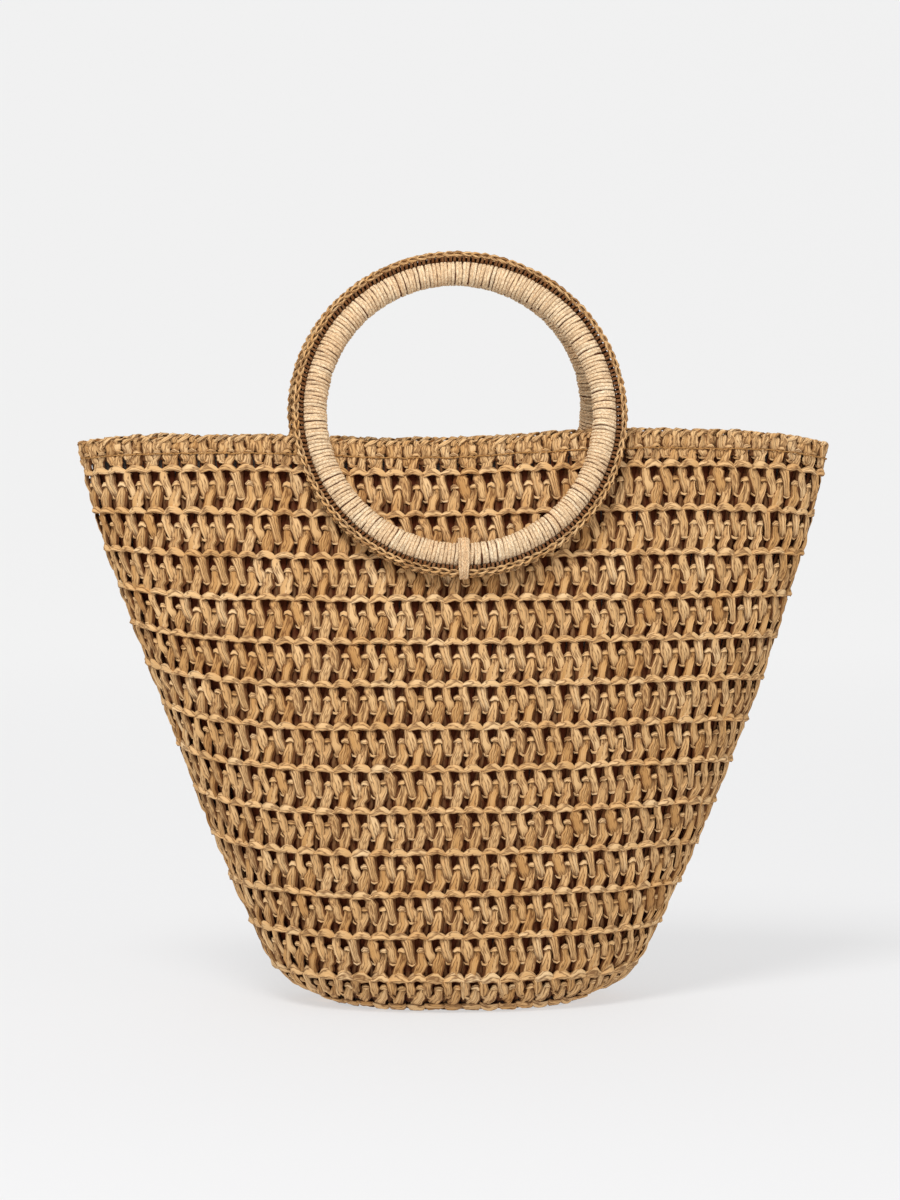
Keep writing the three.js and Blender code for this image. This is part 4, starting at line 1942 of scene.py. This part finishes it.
@dataclass
class Studio:
    """Pale floor and backdrop in one sweep, soft lights and the camera."""

    distance: float = 2.4
    camera_height: float = 0.3695
    azimuth: float = math.radians(-4.0)
    target: tuple[float, float, float] = (-0.003, 0.0, 0.219)
    frame_height: float = 0.654
    sensor_mm: float = 36.0
    sky: float = 0.55

    def build(self) -> None:
        """Makes the stage, lights and camera."""
        self._sweep()
        self._lights()
        self._camera()

    def _sweep(self) -> None:
        """The floor, rising behind into the backdrop."""
        half, front, back, radius, top, steps = 6.0, -6.0, 4.0, 1.5, 6.0, 12
        profile = [(front, 0.0), (back - radius, 0.0)]
        for step in range(1, steps + 1):
            turn = math.pi / 2 * step / steps
            profile.append((back - radius + radius * math.sin(turn), radius - radius * math.cos(turn)))
        profile.append((back, top))
        points = np.array([(x, y, z) for y, z in profile for x in (-half, half)])
        mesh = new_mesh("studio_floor", points, grid_faces(len(profile), 2))
        mesh.shade_smooth()
        mesh.materials.append(FloorFinish().material())
        put_in_scene("studio_floor", mesh)

    def _lights(self) -> None:
        """A broad soft light above and in front, a weaker fill, and an even sky."""
        world = bpy.data.worlds.new("studio_sky")
        bpy.context.scene.world = world
        world.use_nodes = True
        tree = Tree(world.node_tree)
        sky = tree.add("ShaderNodeBackground", {}, {"Color": (1.0, 1.0, 1.0, 1.0), "Strength": self.sky})
        tree.add("ShaderNodeOutputWorld", {}, {"Surface": sky})
        for name, place, aim, size, power in (
            ("key", (-0.7, -1.7, 2.4), (0.0, 0.0, 0.15), 0.9, 52.0),
            ("fill", (1.6, -2.0, 1.2), (0.0, 0.0, 0.2), 1.4, 6.0),
        ):
            light = bpy.data.lights.new(name, "AREA")
            light.size = size
            light.energy = power
            lamp = put_in_scene(name, light)
            lamp.location = place
            lamp.rotation_euler = (Vector(aim) - Vector(place)).to_track_quat("-Z", "Y").to_euler()

    def _camera(self) -> None:
        """A long lens at about the height of the rim."""
        data = bpy.data.cameras.new("camera")
        data.sensor_fit = "VERTICAL"
        data.sensor_height = self.sensor_mm
        data.lens = self.sensor_mm * self.distance / self.frame_height
        camera = put_in_scene("camera", data)
        camera.location = (
            self.target[0] + self.distance * math.sin(self.azimuth),
            -self.distance * math.cos(self.azimuth),
            self.camera_height,
        )
        camera.rotation_euler = (Vector(self.target) - camera.location).to_track_quat("-Z", "Y").to_euler()
        bpy.context.scene.camera = camera
        bpy.context.scene.view_settings.view_transform = "Standard"


STRAW_STOPS = (
    (0.0, srgb(148, 92, 42)),
    (0.35, srgb(205, 155, 96)),
    (0.65, srgb(232, 189, 134)),
    (1.0, srgb(250, 222, 178)),
)
WOUND_STOPS = (
    (0.0, srgb(192, 146, 100)),
    (0.35, srgb(240, 202, 156)),
    (0.65, srgb(252, 224, 184)),
    (1.0, srgb(255, 242, 214)),
)
CORE_STOPS = ((0.0, srgb(110, 68, 34)), (1.0, srgb(154, 106, 64)))
THREAD_STOPS = ((0.0, srgb(168, 118, 62)), (1.0, srgb(214, 166, 104)))
WALL_STRAW = StrawFinish("WallStraw", STRAW_STOPS)
WOUND_STRAW = StrawFinish(
    "WoundStraw", WOUND_STOPS, tone_spread=0.4, crease_per_mm=(0.4, 0.8), crease_shade_depth=0.5, edge_shade_depth=0.75)
EDGING_STRAW = StrawFinish("EdgingStraw", STRAW_STOPS)
# The edging's core shows only this near-black painted hollow shade, the dark band between the winding and the
# edging.
SHADED_CORE_STRAW = StrawFinish("CoreStraw", CORE_STOPS, srgb(40, 20, 8), tone_spread=0.0)
LINING_CLOTH = ClothFinish("LiningCloth", srgb(128, 117, 110), srgb(84, 75, 69))
SEAM_THREAD = StrawFinish(
    "SeamThread", THREAD_STOPS, srgb(90, 55, 20), tone_spread=0.3, crease_shade_depth=0.2, edge_shade_depth=0.2)


def clear_helpers(patches: Iterable[WallPatch]) -> None:
    """Deletes the guides and the motifs' versions.

    Args:
        patches: The wall patches whose guides go.
    """
    for patch in patches:
        bpy.data.objects.remove(patch.guide)
    for collection in [found for found in bpy.data.collections if found.name.endswith(MOTIF_MARK)]:
        for helper in list(collection.objects):
            bpy.data.objects.remove(helper)
        bpy.data.collections.remove(collection)


def main() -> None:
    logging.basicConfig(level=logging.INFO, format="%(name)s: %(message)s")
    form = BagForm()
    patches = {side: WallPatch(form, side) for side in Side}
    handwork = Handwork()
    straw, wound, edged = WALL_STRAW.material(), WOUND_STRAW.material(), EDGING_STRAW.material()
    core = SHADED_CORE_STRAW.material()
    CrochetWall(form, patches, handwork, straw, SEAM_THREAD.material()).build()
    CrochetBase(form, handwork, straw).build()
    LiningCloth(form, LINING_CLOTH.material()).build()
    motifs = RingHandle.draw_motifs()
    for side in Side:
        RingHandle(side, handwork, wound, edged, core, motifs).build()
    clear_helpers(patches.values())
    Studio().build()


if __name__ == "__main__":
    main()
